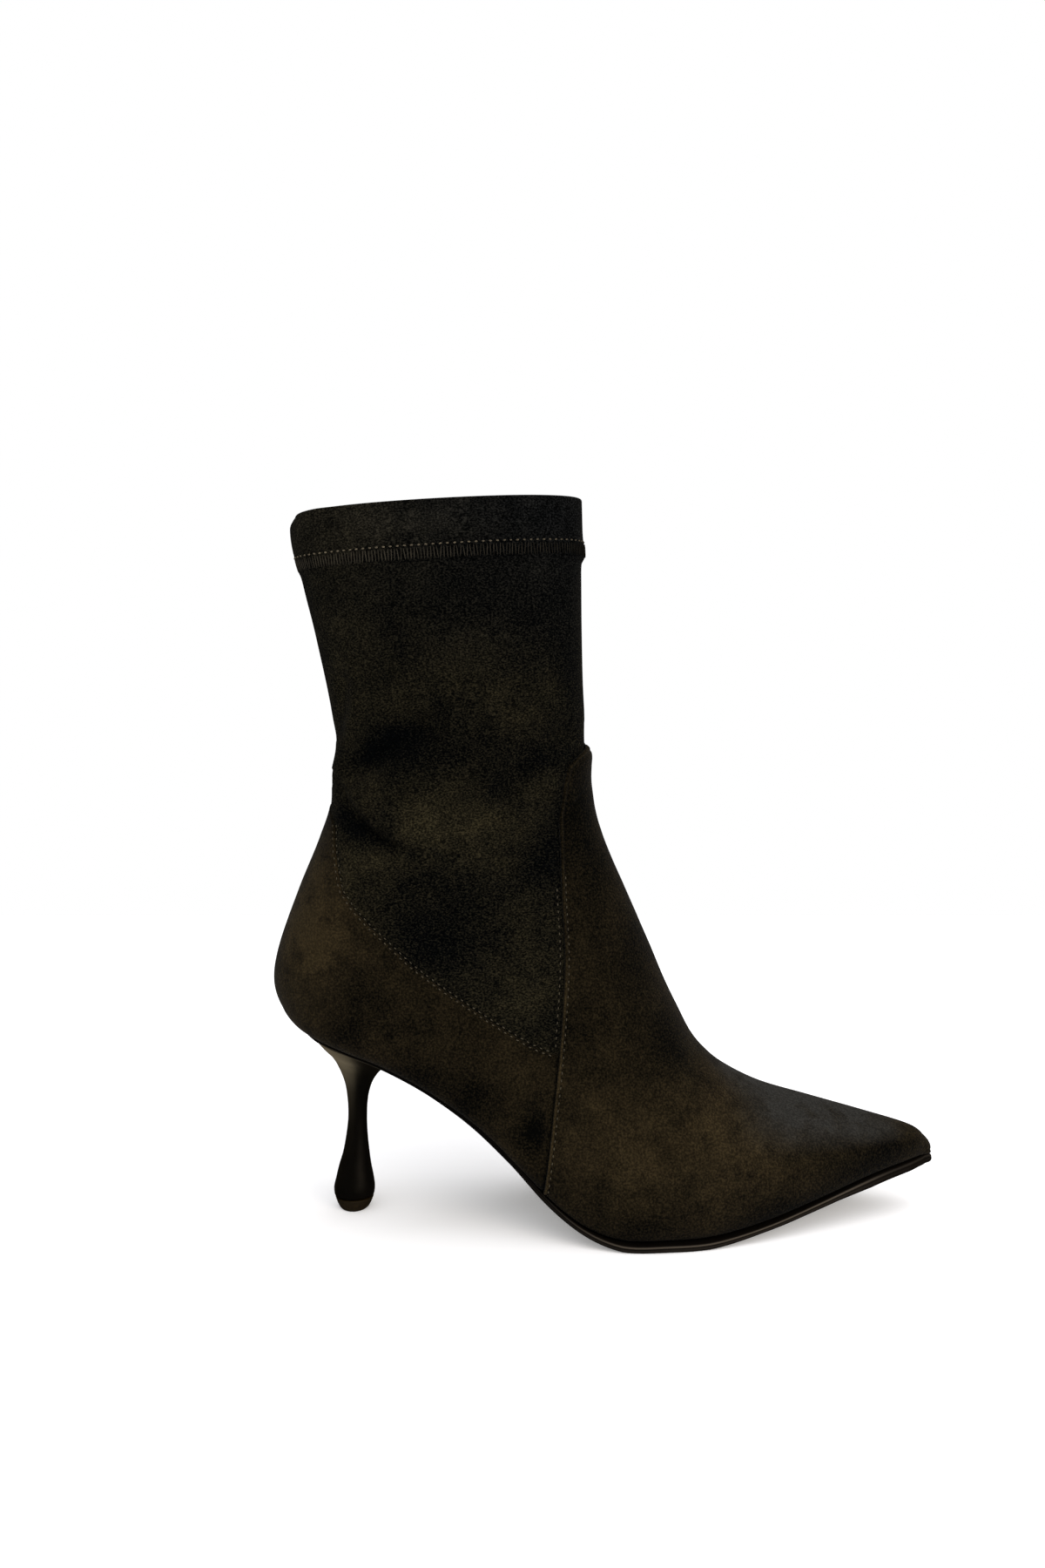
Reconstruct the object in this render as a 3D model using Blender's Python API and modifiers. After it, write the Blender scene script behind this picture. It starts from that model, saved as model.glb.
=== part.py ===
# Ankle boot with a drop heel: stretch upper, vamp and counter panels, outsole, insole, heel, top lift.
# Lengths are millimetres until placed(); +X runs to the toe, -Y is the outer side, the floor is Z = 0.

import math
from collections import namedtuple

import bmesh
import bpy
import numpy as np

MM = 0.001

# Middle of the finished boot's box, so the origin is the bottom centre.
BOX_MIDDLE = np.array([0.11, -0.56, 0.0])

WALL = 1.6             # stretch suede bonded to its lining
GAP = 0.3              # air between two curved pieces
COUNTER_GAP = 0.45     # a little more where the counter crosses the sharp turn into the waist
PANEL = 0.9            # vamp leather; the counter's outer face is flush with it
HEM_STEP = 0.9         # extra layer of the turned hem
HEM_ROW = 26.0         # section row where the hem starts
COVER = GAP + PANEL    # how far a panel stands off the upper

INSOLE_THICK = 1.8
INSOLE_SPREAD = 0.4    # insole edge beyond the margin's edge, lower face
INSOLE_FLARE = 0.5     # more of it at the upper face
SOLE_CHAMFER = 0.8
SOLE_NOSE = 1.4        # sole tip ahead of the first section
CROWN_SHARE = 0.6      # part of a half section that lies above its widest level
ROW_SNAP = 0.12        # a shared row this close to a needed one is left out
SEAM_SNAP = 0.02       # a column this close to a seam is moved onto it
TOE_INSIDE = 2.0       # section row where the hollow ends behind the toe puff
TOE_JOIN = 4.0         # section row from which inside and outside rows agree

ROWS_PER_SECTION = 2
CROWN_COLUMNS = 7
TUCK_COLUMNS = 5
HEEL_SIDES = 28

# Each section is a slice through the upper without its panels. Slices fan from upright at the toe
# to level at the collar. outer and inner are half widths, feather_* the half widths of the opening
# underneath, belly the share of the slice above its widest level, crown and tuck the roundness.
Section = namedtuple("Section", "name x_top z_top x_bottom z_bottom y_mid outer inner "
                                "feather_outer feather_inner belly crown tuck")
SECTIONS = [
    Section("toe tip",      124.0,  21.7,  123.3,  20.7, 5.0,  0.7,  0.7,  0.5,  0.5, 0.60, 2.0, 2.2),
    Section("toe nose",     122.9,  25.0,  121.2,  20.4, 5.0,  2.9,  2.7,  2.2,  2.0, 0.60, 2.0, 2.4),
    Section("toe point",    117.8,  28.9,  115.7,  19.8, 4.9,  6.8,  6.0,  5.4,  4.6, 0.62, 2.0, 2.5),
    Section("toe box",      100.7,  34.2,   99.2,  17.2, 4.2, 14.8, 12.6, 12.2, 10.0, 0.68, 1.9, 2.6),
    Section("toe root",      79.7,  40.2,   77.7,  11.9, 3.0, 23.4, 21.6, 19.8, 18.0, 0.74, 1.9, 2.6),
    Section("vamp point",    60.3,  46.0,   56.8,   7.2, 1.7, 30.6, 30.0, 26.6, 26.0, 0.78, 1.9, 2.6),
    Section("ball front",    46.1,  53.2,   37.0,   4.3, 0.6, 36.0, 36.2, 31.6, 31.8, 0.80, 1.9, 2.6),
    Section("ball",          38.1,  59.7,   20.0,   4.1, 0.0, 38.6, 37.8, 34.0, 33.0, 0.81, 1.9, 2.6),
    Section("ball back",     32.4,  66.7,    5.1,   4.2, 0.0, 38.6, 36.2, 34.2, 30.0, 0.80, 1.9, 2.6),
    Section("waist front",   27.4,  76.3,   -7.5,   8.0, 0.2, 37.0, 34.2, 32.8, 25.6, 0.78, 1.9, 2.7),
    Section("waist",         22.1,  87.3,  -19.2,  16.0, 0.6, 35.0, 32.6, 30.9, 21.8, 0.75, 1.9, 2.8),
    Section("arch",          16.7, 100.3,  -32.7,  29.1, 1.0, 32.8, 31.4, 28.2, 19.2, 0.72, 1.9, 2.9),
    Section("shank",         10.8, 113.5,  -47.8,  42.0, 1.4, 31.2, 30.4, 25.8, 18.6, 0.69, 1.95, 3.0),
    Section("heel breast",    6.2, 123.8,  -64.4,  52.9, 1.7, 30.0, 29.6, 24.4, 20.2, 0.66, 2.0, 3.0),
    Section("seat front",     3.0, 130.6,  -80.5,  61.0, 2.0, 29.4, 29.2, 23.2, 21.4, 0.63, 2.0, 3.0),
    Section("seat middle",    0.5, 136.1,  -94.6,  66.0, 2.0, 29.0, 28.9, 21.2, 20.8, 0.60, 2.0, 2.9),
    Section("seat back",     -1.1, 139.9, -105.1,  69.5, 2.0, 28.7, 28.7, 17.4, 17.2, 0.58, 2.0, 2.7),
    Section("heel corner",   -2.3, 143.2, -113.0,  72.7, 2.0, 28.5, 28.5, 11.0, 11.0, 0.56, 2.0, 2.5),
    Section("heel curve",    -3.5, 146.8, -120.2,  78.2, 2.0, 28.2, 28.2,  0.0,  0.0, 0.55, 2.0, 2.3),
    Section("heel back",     -4.4, 150.9, -123.8,  87.2, 2.0, 28.0, 28.0,  0.0,  0.0, 0.54, 2.0, 2.2),
    Section("counter",       -5.2, 157.0, -121.8, 100.6, 2.0, 27.7, 27.7,  0.0,  0.0, 0.53, 2.0, 2.2),
    Section("counter edge",  -6.2, 165.0, -114.4, 121.6, 2.0, 27.2, 27.2,  0.0,  0.0, 0.52, 2.0, 2.1),
    Section("ankle back",    -6.8, 175.0, -105.0, 145.8, 2.0, 26.4, 26.4,  0.0,  0.0, 0.51, 2.1, 2.1),
    Section("ankle",         -7.2, 188.0, -102.2, 167.0, 2.0, 25.9, 25.9,  0.0,  0.0, 0.50, 2.1, 2.1),
    Section("shaft low",     -7.8, 202.0, -103.0, 187.0, 2.0, 25.9, 25.9,  0.0,  0.0, 0.50, 2.1, 2.1),
    Section("shaft",         -8.2, 222.0, -109.2, 217.0, 2.0, 26.8, 26.8,  0.0,  0.0, 0.50, 2.1, 2.1),
    Section("hem",           -8.4, 244.0, -115.0, 241.2, 2.0, 27.6, 27.6,  0.0,  0.0, 0.50, 2.1, 2.1),
    Section("collar",        -9.0, 269.4, -117.2, 263.0, 2.0, 27.8, 27.8,  0.0,  0.0, 0.50, 2.1, 2.1),
]
TABLE = np.array([section[1:] for section in SECTIONS])

# Side outline of the raised vamp seam, from under the foot up to the tongue peak.
SeamPoint = namedtuple("SeamPoint", "x z")
VAMP_SEAM = [
    SeamPoint(-24.0, 0.0), SeamPoint(-22.5, 18.6), SeamPoint(-19.9, 42.7), SeamPoint(-17.3, 68.4),
    SeamPoint(-15.5, 102.0), SeamPoint(-16.5, 123.0), SeamPoint(-16.7, 146.0), SeamPoint(-15.4, 164.0),
    SeamPoint(-13.6, 169.0), SeamPoint(-6.8, 175.5), SeamPoint(0.0, 182.0),
]
# Side outline of the counter seam, from the vamp seam back and up to the back strip.
COUNTER_SEAM = [
    SeamPoint(-19.0, 67.0), SeamPoint(-24.4, 68.8), SeamPoint(-36.6, 75.3), SeamPoint(-49.0, 83.0),
    SeamPoint(-61.0, 91.0), SeamPoint(-71.0, 98.5), SeamPoint(-80.0, 106.7), SeamPoint(-88.0, 114.0),
    SeamPoint(-94.0, 121.0), SeamPoint(-97.1, 127.0), SeamPoint(-99.4, 142.0), SeamPoint(-100.6, 156.0),
]
VAMP_PEAK_ROW = 21.86
COUNTER_TOP_ROW = 22.36

# Sole edge beyond the opening underneath, and sole thickness, along the foot.
SoleStation = namedtuple("SoleStation", "name x overhang thickness")
SOLE = [
    SoleStation("seat back", -118.0, -1.2, 1.8),
    SoleStation("breast", -64.0, -1.2, 1.8),
    SoleStation("arch", -32.0, 0.2, 2.0),
    SoleStation("waist", -12.0, 2.8, 2.4),
    SoleStation("ball back", 5.0, 5.2, 2.6),
    SoleStation("ball front", 40.0, 5.2, 2.6),
    SoleStation("toe root", 78.0, 4.2, 2.5),
    SoleStation("toe box", 100.0, 3.2, 2.3),
    SoleStation("toe point", 116.0, 2.2, 2.2),
    SoleStation("toe tip", 124.0, 1.4, 2.2),
]
SOLE_END_ROW = 17.15
INSOLE_ROWS = (2.8, 17.2)

# Heel rings from the top lift up to the seat; a ring leans from its front point to its back point.
HeelRing = namedtuple("HeelRing", "name x_front z_front x_back z_back side")
HEEL = [
    HeelRing("lift joint",     -87.1,  4.3, -102.1,  4.3,  7.5),
    HeelRing("drop",           -86.9,  7.6, -102.2,  7.6,  7.65),
    HeelRing("drop shoulder",  -87.5, 11.4, -101.3, 11.4,  6.9),
    HeelRing("drop middle",    -88.4, 16.0, -100.0, 16.0,  5.8),
    HeelRing("drop top",       -89.15, 21.0, -98.45, 21.0,  4.65),
    HeelRing("neck low",       -89.9, 27.6,  -97.2, 27.6,  3.65),
    HeelRing("neck",           -90.2, 34.2,  -96.5, 34.2,  3.15),
    HeelRing("neck high",      -89.8, 41.0,  -96.9, 41.2,  3.6),
    HeelRing("flare",          -88.3, 46.6,  -98.2, 47.9,  5.1),
    HeelRing("cup low",        -86.0, 50.4, -101.0, 54.2,  8.0),
    HeelRing("cup",            -83.2, 53.3, -103.4, 58.6, 11.4),
    HeelRing("cup high",       -80.6, 55.6, -107.2, 62.7, 15.0),
]
SEAT_FRONT = -78.6
SEAT_BACK = -112.4
SEAT_SIDE = 17.8
HEEL_MIDDLE = 2.0

# Top lift: level rings from the floor up.
LiftRing = namedtuple("LiftRing", "z radius")
LIFT = [LiftRing(0.0, 5.6), LiftRing(0.7, 6.2), LiftRing(2.0, 6.9), LiftRing(4.0, 7.4)]
LIFT_X = -94.6

# Columns of a half section, from its top to its edge underneath.
HALF = [CROWN_SHARE * k / CROWN_COLUMNS for k in range(CROWN_COLUMNS)]
HALF += [CROWN_SHARE + (1 - CROWN_SHARE) * k / TUCK_COLUMNS for k in range(TUCK_COLUMNS + 1)]

COLOURS = {
    "upper": (0.020, 0.018, 0.015),
    "vamp": (0.024, 0.021, 0.018),
    "counter": (0.022, 0.020, 0.016),
    "outsole": (0.016, 0.014, 0.012),
    "insole": (0.050, 0.044, 0.038),
    "heel": (0.008, 0.008, 0.008),
    "top_lift": (0.012, 0.012, 0.012),
}


def placed(point):
    return tuple((np.asarray(point, float) - BOX_MIDDLE) * MM)


def row_at(u):
    # Catmull-Rom through the table's rows.
    last = len(TABLE) - 1
    i = min(max(int(math.floor(u)), 0), last - 1)
    t = u - i
    b = TABLE[i]
    c = TABLE[i + 1]
    a = TABLE[i - 1] if i > 0 else 2 * b - c
    d = TABLE[i + 2] if i + 2 <= last else 2 * c - b
    value = 0.5 * (2 * b + (c - a) * t + (2 * a - 5 * b + 4 * c - d) * t ** 2
                   + (3 * b - a - 3 * c + d) * t ** 3)
    return Section("between", *value)


def tuck_angle(t):
    # Eased at both ends, which spaces the columns evenly around the turned-in edge.
    share = (t - CROWN_SHARE) / (1 - CROWN_SHARE)
    return 0.5 * math.pi * share * share * (3 - 2 * share)


def along_section(row, t):
    # Share of the way from the top of a slice to its bottom.
    if t <= CROWN_SHARE:
        angle = 0.5 * math.pi * t / CROWN_SHARE
        return row.belly * (1 - math.cos(angle) ** (2 / row.crown))
    return row.belly + (1 - row.belly) * math.sin(tuck_angle(t)) ** (2 / row.tuck)


def out_section(row, t, width, feather):
    if t <= CROWN_SHARE:
        angle = 0.5 * math.pi * t / CROWN_SHARE
        return width * math.sin(angle) ** (2 / row.crown)
    return feather + (width - feather) * max(math.cos(tuck_angle(t)), 0.0) ** (2 / row.tuck)


def upper_point(u, v, inset=0.0):
    # v runs from -1 (outer edge underneath) over the top at 0 to +1 (inner edge underneath).
    row = row_at(u)
    width = (row.outer if v < 0 else row.inner) - inset
    feather = max(row.feather_outer if v < 0 else row.feather_inner, 0.0)
    feather = min(feather, 0.92 * width)
    top = np.array([row.x_top, 0.0, row.z_top])
    bottom = np.array([row.x_bottom, 0.0, row.z_bottom])
    line = (bottom - top) / np.linalg.norm(bottom - top)
    top = top + inset * line
    bottom = bottom - inset * line
    point = top + (bottom - top) * along_section(row, abs(v))
    out = out_section(row, abs(v), width, feather)
    point[1] = row.y_mid + (-out if v < 0 else out)
    return point


def closed_at(u):
    row = row_at(u)
    return max(row.feather_outer, row.feather_inner) <= 0.0


def upper_normal(u, v):
    u_low = max(u - 0.03, 0.0)
    u_high = min(u + 0.03, len(TABLE) - 1.0)
    v_low = max(v - 0.006, -1.0)
    v_high = min(v + 0.006, 1.0)
    along_u = upper_point(u_high, v) - upper_point(u_low, v)
    along_v = upper_point(u, v_high) - upper_point(u, v_low)
    normal = np.cross(along_v, along_u)
    if abs(v) == 1.0 and closed_at(u):
        normal[1] = 0.0
    return normal / np.linalg.norm(normal)


def lifted(u, v, lift):
    if lift == 0.0:
        return upper_point(u, v)
    return upper_point(u, v) + lift * upper_normal(u, v)


class Patch:
    # Faces over the upper's (u, v) surface; the two edges of a closed row share their vertex.
    def __init__(self):
        self.keys = []
        self.index = {}
        self.faces = []

    def vertex(self, u, v):
        if abs(v) == 1.0 and closed_at(u):
            v = 1.0
        key = (round(u, 6), round(v, 6))
        if key not in self.index:
            self.index[key] = len(self.keys)
            self.keys.append((u, v))
        return self.index[key]

    def face(self, *corners):
        ring = [corner for i, corner in enumerate(corners) if corner != corners[i - 1]]
        if len(ring) > 2:
            self.faces.append(ring)

    def strips(self, rows):
        # Triangles with the same diagonal everywhere, so that panels keep their distance.
        for here, after in zip(rows, rows[1:]):
            for j in range(len(here) - 1):
                self.face(here[j], here[j + 1], after[j + 1])
                self.face(here[j], after[j + 1], after[j])

    def toe_cap(self, row):
        for j in range(len(row) // 2):
            k = len(row) - 1 - j
            self.face(row[j + 1], row[j], row[k], row[k - 1])


def solid_between(name, faces, outside, inside):
    # One closed solid from two matching skins and the walls along their open edges.
    count = len(outside)
    used = set()
    for face in faces:
        for i, a in enumerate(face):
            used.add((a, face[(i + 1) % len(face)]))
    all_faces = [tuple(face) for face in faces]
    all_faces += [tuple(count + i for i in reversed(face)) for face in faces]
    for a, b in sorted(used):
        if (b, a) not in used:
            all_faces.append((b, a, count + a, count + b))
    return make_object(name, list(outside) + list(inside), all_faces)


def make_object(name, points, faces):
    mesh = bpy.data.meshes.new(name)
    mesh.from_pydata([placed(point) for point in points], [], faces)
    work = bmesh.new()
    work.from_mesh(mesh)
    bmesh.ops.recalc_face_normals(work, faces=work.faces)
    bmesh.ops.triangulate(work, faces=work.faces)
    work.to_mesh(mesh)
    work.free()
    mesh.shade_smooth()
    mesh.set_sharp_from_angle(angle=math.radians(40))
    mesh.materials.append(make_material(name))
    item = bpy.data.objects.new(name, mesh)
    COLLECTION.objects.link(item)
    return item


def make_material(name):
    material = bpy.data.materials.new(name)
    material.use_nodes = True
    shader = material.node_tree.nodes["Principled BSDF"]
    shader.inputs["Base Color"].default_value = (*COLOURS[name], 1.0)
    shader.inputs["Roughness"].default_value = 0.15 if name == "heel" else 0.8
    return material


def section_rows(start, end, extra=()):
    # Every shared row between two places, with the two places and the extra rows themselves.
    kept = sorted([start, end, *extra])
    step = 1.0 / ROWS_PER_SECTION
    rows = list(kept)
    for k in range(int(end / step) + 1):
        if start < k * step < end and min(abs(k * step - row) for row in kept) > ROW_SNAP:
            rows.append(k * step)
    return sorted(rows)


def seam_x(z):
    return float(np.interp(z, [p.z for p in VAMP_SEAM], [p.x for p in VAMP_SEAM]))


def counter_z(x):
    ordered = sorted(COUNTER_SEAM)
    return float(np.interp(x, [p.x for p in ordered], [p.z for p in ordered]))


def crossing(u, behind):
    # Share of a half section where it first passes behind the given side outline.
    if not behind(*upper_point(u, 1.0)[[0, 2]]):
        return 1.0
    low = 0.0
    high = 1.0
    for _ in range(40):
        middle = 0.5 * (low + high)
        x, _, z = upper_point(u, middle)
        if behind(x, z):
            high = middle
        else:
            low = middle
    return high


def vamp_share(u):
    return crossing(u, lambda x, z: x < seam_x(z) + 0.5 * GAP)


def counter_share(u):
    return crossing(u, lambda x, z: x < seam_x(z) - 0.5 * GAP and z < counter_z(x))


def up_to(share):
    # The upper's own columns as far as a seam, the rest drawn in to the seam.
    return [share if t > share - SEAM_SNAP else t for t in HALF]


def down_from(share):
    return [share if t < share + SEAM_SNAP else t for t in HALF]


def seam_row(share):
    # Row whose half section meets the vamp seam at the given share; 1 is where the seam meets the sole.
    low = 9.0
    high = 13.0
    for _ in range(40):
        middle = 0.5 * (low + high)
        if vamp_share(middle) < share:
            high = middle
        else:
            low = middle
    return low


def build_upper(extra):
    columns = [-t for t in reversed(HALF)] + HALF[1:]
    us = section_rows(0.0, HEM_ROW - 0.02, extra) + section_rows(HEM_ROW + 0.03, len(TABLE) - 1.0)
    patch = Patch()
    rows = [[patch.vertex(u, v) for v in columns] for u in us]
    patch.strips(rows)
    patch.toe_cap(rows[0])
    outside = [lifted(u, v, HEM_STEP if u > HEM_ROW else 0.0) for u, v in patch.keys]
    inside = []
    for u, v in patch.keys:
        hollow = u
        if u < TOE_JOIN:
            hollow = TOE_INSIDE + (TOE_JOIN - TOE_INSIDE) * u / TOE_JOIN
        inside.append(upper_point(hollow, v, WALL))
    return solid_between("upper", patch.faces, outside, inside)


def build_vamp(extra):
    patch = Patch()
    rows = []
    for u in section_rows(0.0, VAMP_PEAK_ROW, extra):
        half = up_to(vamp_share(u))
        rows.append([patch.vertex(u, v) for v in [-t for t in reversed(half)] + half[1:]])
    patch.strips(rows)
    patch.toe_cap(rows[0])
    outside = [lifted(u, v, COVER) for u, v in patch.keys]
    inside = [lifted(u, v, GAP) for u, v in patch.keys]
    return solid_between("vamp", patch.faces, outside, inside)


def build_counter(start, extra):
    us = section_rows(start, COUNTER_TOP_ROW, extra)
    patch = Patch()
    for side in (-1, 1):
        rows = []
        for u in us:
            half = down_from(counter_share(u))
            ordered = half[::-1] if side < 0 else half
            rows.append([patch.vertex(u, side * t) for t in ordered])
        patch.strips(rows)
    outside = [lifted(u, v, COVER) for u, v in patch.keys]
    inside = [lifted(u, v, COUNTER_GAP) for u, v in patch.keys]
    return solid_between("counter", patch.faces, outside, inside)


def bottom_line(u):
    # Point and upward normal of the upper's underside in the side view.
    row = row_at(u)
    before = row_at(max(u - 0.05, 0.0))
    after = row_at(u + 0.05)
    point = np.array([row.x_bottom, 0.0, row.z_bottom])
    ahead = np.array([before.x_bottom - after.x_bottom, 0.0, before.z_bottom - after.z_bottom])
    ahead = ahead / np.linalg.norm(ahead)
    return point, np.array([-ahead[2], 0.0, ahead[0]]), ahead, row


def sole_sizes(x):
    ordered = [station.x for station in SOLE]
    overhang = float(np.interp(x, ordered, [station.overhang for station in SOLE]))
    thickness = float(np.interp(x, ordered, [station.thickness for station in SOLE]))
    return overhang, thickness


def loft(name, rings):
    # Closed solid through rings of equal count, closed at both ends.
    count = len(rings[0])
    points = [point for ring in rings for point in ring]
    faces = []
    for i in range(len(rings) - 1):
        for k in range(count):
            n = (k + 1) % count
            faces.append((i * count + k, i * count + n, (i + 1) * count + n, (i + 1) * count + k))
    last = (len(rings) - 1) * count
    for base, flip in ((0, True), (last, False)):
        for k in range(count // 2):
            a = base + k
            b = base + k + 1
            c = base + (count - k - 1) % count
            d = base + (count - k) % count
            ring = [a, b, c, d]
            ring = [p for i, p in enumerate(ring) if p != ring[i - 1]]
            if len(ring) > 2:
                faces.append(tuple(reversed(ring)) if flip else tuple(ring))
    return make_object(name, points, faces)


def sole_ring(u, reach, narrow):
    point, up, ahead, row = bottom_line(u)
    overhang, thickness = sole_sizes(point[0])
    outer = max(row.feather_outer, 0.0) + overhang
    inner = max(row.feather_inner, 0.0) + overhang
    outer = max(outer * narrow, 0.8)
    inner = max(inner * narrow, 0.8)
    face = point - (COVER + GAP) * up + reach * ahead
    edge = face - 0.65 * thickness * up
    tread = face - thickness * up
    tread[2] = max(tread[2], 0.0)
    edge[2] = max(edge[2], tread[2] + 0.5)
    left = row.y_mid - outer
    right = row.y_mid + inner
    bevel = min(SOLE_CHAMFER, 0.4 * outer, 0.4 * inner)
    ring = []
    for base, y in ((face, right), (edge, right), (tread, right - bevel),
                    (tread, left + bevel), (edge, left), (face, left)):
        ring.append(np.array([base[0], y, base[2]]))
    return ring


def build_outsole():
    rings = [sole_ring(0.0, SOLE_NOSE, 0.55)]
    rings += [sole_ring(u, 0.0, 1.0) for u in section_rows(0.25, SOLE_END_ROW)]
    loft("outsole", rings)
    seat = sorted((float(ring[2][0]), float(ring[2][2])) for ring in rings)
    return [x for x, z in seat], [z for x, z in seat]


def build_insole():
    rings = []
    for u in section_rows(*INSOLE_ROWS):
        point, up, _, row = bottom_line(u)
        under = point + (WALL + GAP + 0.1) * up
        over = under + INSOLE_THICK * up
        ring = []
        for base, spread in ((under, INSOLE_SPREAD), (over, INSOLE_SPREAD + INSOLE_FLARE)):
            left = row.y_mid - min(row.feather_outer + spread, 0.9 * (row.outer - WALL) - GAP)
            right = row.y_mid + min(row.feather_inner + spread, 0.9 * (row.inner - WALL) - GAP)
            pair = [np.array([base[0], left, base[2]]), np.array([base[0], right, base[2]])]
            ring += pair if base is under else pair[::-1]
        rings.append(ring)
    return loft("insole", rings)


def build_heel(seat_x, seat_z):
    angles = [2 * math.pi * k / HEEL_SIDES for k in range(HEEL_SIDES)]
    rings = []
    for step in HEEL:
        middle = np.array([0.5 * (step.x_front + step.x_back), HEEL_MIDDLE,
                           0.5 * (step.z_front + step.z_back)])
        lean = np.array([0.5 * (step.x_front - step.x_back), 0.0, 0.5 * (step.z_front - step.z_back)])
        rings.append([middle + math.cos(a) * lean + np.array([0.0, step.side * math.sin(a), 0.0])
                      for a in angles])
    seat = []
    for a in angles:
        x = 0.5 * (SEAT_FRONT + SEAT_BACK) + 0.5 * (SEAT_FRONT - SEAT_BACK) * math.cos(a)
        z = float(np.interp(x, seat_x, seat_z)) - GAP
        seat.append(np.array([x, HEEL_MIDDLE + SEAT_SIDE * math.sin(a), z]))
    rings.append(seat)
    return loft("heel", rings)


def build_lift():
    # A turned profile, from the middle of its top down the side to the middle of the tread.
    profile = [(0.0, LIFT[-1].z)] + [(ring.radius, ring.z) for ring in reversed(LIFT)] + [(0.0, 0.0)]
    mesh = bpy.data.meshes.new("top_lift")
    edges = [(i, i + 1) for i in range(len(profile) - 1)]
    mesh.from_pydata([(x * MM, 0.0, z * MM) for x, z in profile], edges, [])
    mesh.materials.append(make_material("top_lift"))
    item = bpy.data.objects.new("top_lift", mesh)
    item.location = placed((LIFT_X, HEEL_MIDDLE, 0.0))
    turn = item.modifiers.new("turned", "SCREW")
    turn.angle = 2 * math.pi
    turn.steps = HEEL_SIDES
    turn.render_steps = HEEL_SIDES
    turn.use_merge_vertices = True
    turn.merge_threshold = 0.00001
    COLLECTION.objects.link(item)
    return item


for old in list(bpy.data.objects):
    bpy.data.objects.remove(old, do_unlink=True)
COLLECTION = bpy.data.collections.new("ankle_boot")
bpy.context.scene.collection.children.link(COLLECTION)

seam_rows = [seam_row(share) for share in (1.0, *reversed(HALF[CROWN_COLUMNS + 1:-1]))]
build_upper(seam_rows)
build_vamp(seam_rows)
build_counter(seam_rows[2], seam_rows[3:])
seat_x, seat_z = build_outsole()
build_insole()
build_heel(seat_x, seat_z)
build_lift()
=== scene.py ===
# Ankle boot in black stretch suede on a drop heel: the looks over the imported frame.
# The last's own table is in millimetres; +X runs to the toe, -Y is the outer side, the floor is Z = 0.

import math

import bpy
import numpy as np
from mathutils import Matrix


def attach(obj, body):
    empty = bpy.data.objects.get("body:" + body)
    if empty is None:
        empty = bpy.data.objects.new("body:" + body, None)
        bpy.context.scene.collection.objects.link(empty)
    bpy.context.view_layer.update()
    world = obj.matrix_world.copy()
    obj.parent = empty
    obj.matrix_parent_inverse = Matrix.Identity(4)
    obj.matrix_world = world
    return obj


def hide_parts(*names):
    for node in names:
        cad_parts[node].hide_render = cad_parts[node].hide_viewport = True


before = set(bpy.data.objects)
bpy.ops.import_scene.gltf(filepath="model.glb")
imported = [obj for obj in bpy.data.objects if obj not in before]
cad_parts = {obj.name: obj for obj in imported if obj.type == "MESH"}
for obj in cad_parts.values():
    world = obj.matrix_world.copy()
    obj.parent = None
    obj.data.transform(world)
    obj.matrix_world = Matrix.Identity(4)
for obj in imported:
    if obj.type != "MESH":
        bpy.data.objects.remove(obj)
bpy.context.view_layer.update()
print("frame loaded:", ", ".join(sorted(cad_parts)))

boxMiddle = np.array([0.11, -0.56, 0.0])  # the table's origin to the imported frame's origin
mm = 0.001


# small helpers

def hexColor(code):
    channels = [int(code[i:i + 2], 16) / 255 for i in (1, 3, 5)]
    return (*[c / 12.92 if c <= 0.04045 else ((c + 0.055) / 1.055) ** 2.4 for c in channels], 1.0)


def addNode(tree, kind, sockets=None, **settings):
    node = tree.nodes.new(kind)
    for key, value in settings.items():
        setattr(node, key, value)
    for key, value in (sockets or {}).items():
        if isinstance(value, bpy.types.NodeSocket):
            tree.links.new(value, node.inputs[key])
        else:
            node.inputs[key].default_value = value
    return node


def mathNode(tree, operation, *values, clamp=False):
    sockets = dict(enumerate(values))
    return addNode(tree, "ShaderNodeMath", sockets, operation=operation, use_clamp=clamp).outputs[0]


def addObject(name, data):
    thing = bpy.data.objects.new(name, data)
    bpy.context.scene.collection.objects.link(thing)
    return thing


def smoothStep(low, high, value):
    t = np.clip((value - low) / (high - low), 0.0, 1.0)
    return t * t * (3 - 2 * t)


def plateau(low, full, fade, end, value):
    return smoothStep(low, full, value) * (1 - smoothStep(fade, end, value))


def bump(value, middle, width):
    return np.exp(-((value - middle) / width) ** 2)


def throughPoints(a, b, c, d, t):
    # Catmull-Rom curve from b to c
    return 0.5 * (2 * b + (c - a) * t + (2 * a - 5 * b + 4 * c - d) * t ** 2
                  + (3 * b - a - 3 * c + d) * t ** 3)


def smoothCurve(keys, values, at):
    # cubic through the given points, so seams bend instead of kinking
    keys = np.asarray(keys, float)
    values = np.asarray(values, float)
    slopes = np.gradient(values, keys)
    i = np.clip(np.searchsorted(keys, at) - 1, 0, len(keys) - 2)
    span = keys[i + 1] - keys[i]
    t = np.clip((at - keys[i]) / span, 0.0, 1.0)
    start = (2 * t ** 3 - 3 * t ** 2 + 1) * values[i] + (t ** 3 - 2 * t ** 2 + t) * span * slopes[i]
    return start + (3 * t ** 2 - 2 * t ** 3) * values[i + 1] + (t ** 3 - t ** 2) * span * slopes[i + 1]


def unit(vectors):
    return vectors / np.linalg.norm(vectors, axis=-1, keepdims=True)


def stepsAlong(points, axis):
    return np.linalg.norm(np.diff(points, axis=axis), axis=-1)


def travelled(steps):
    # running length along the last axis, from 0
    return np.concatenate([np.zeros((*steps.shape[:-1], 1)), np.cumsum(steps, axis=-1)], axis=-1)


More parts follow.
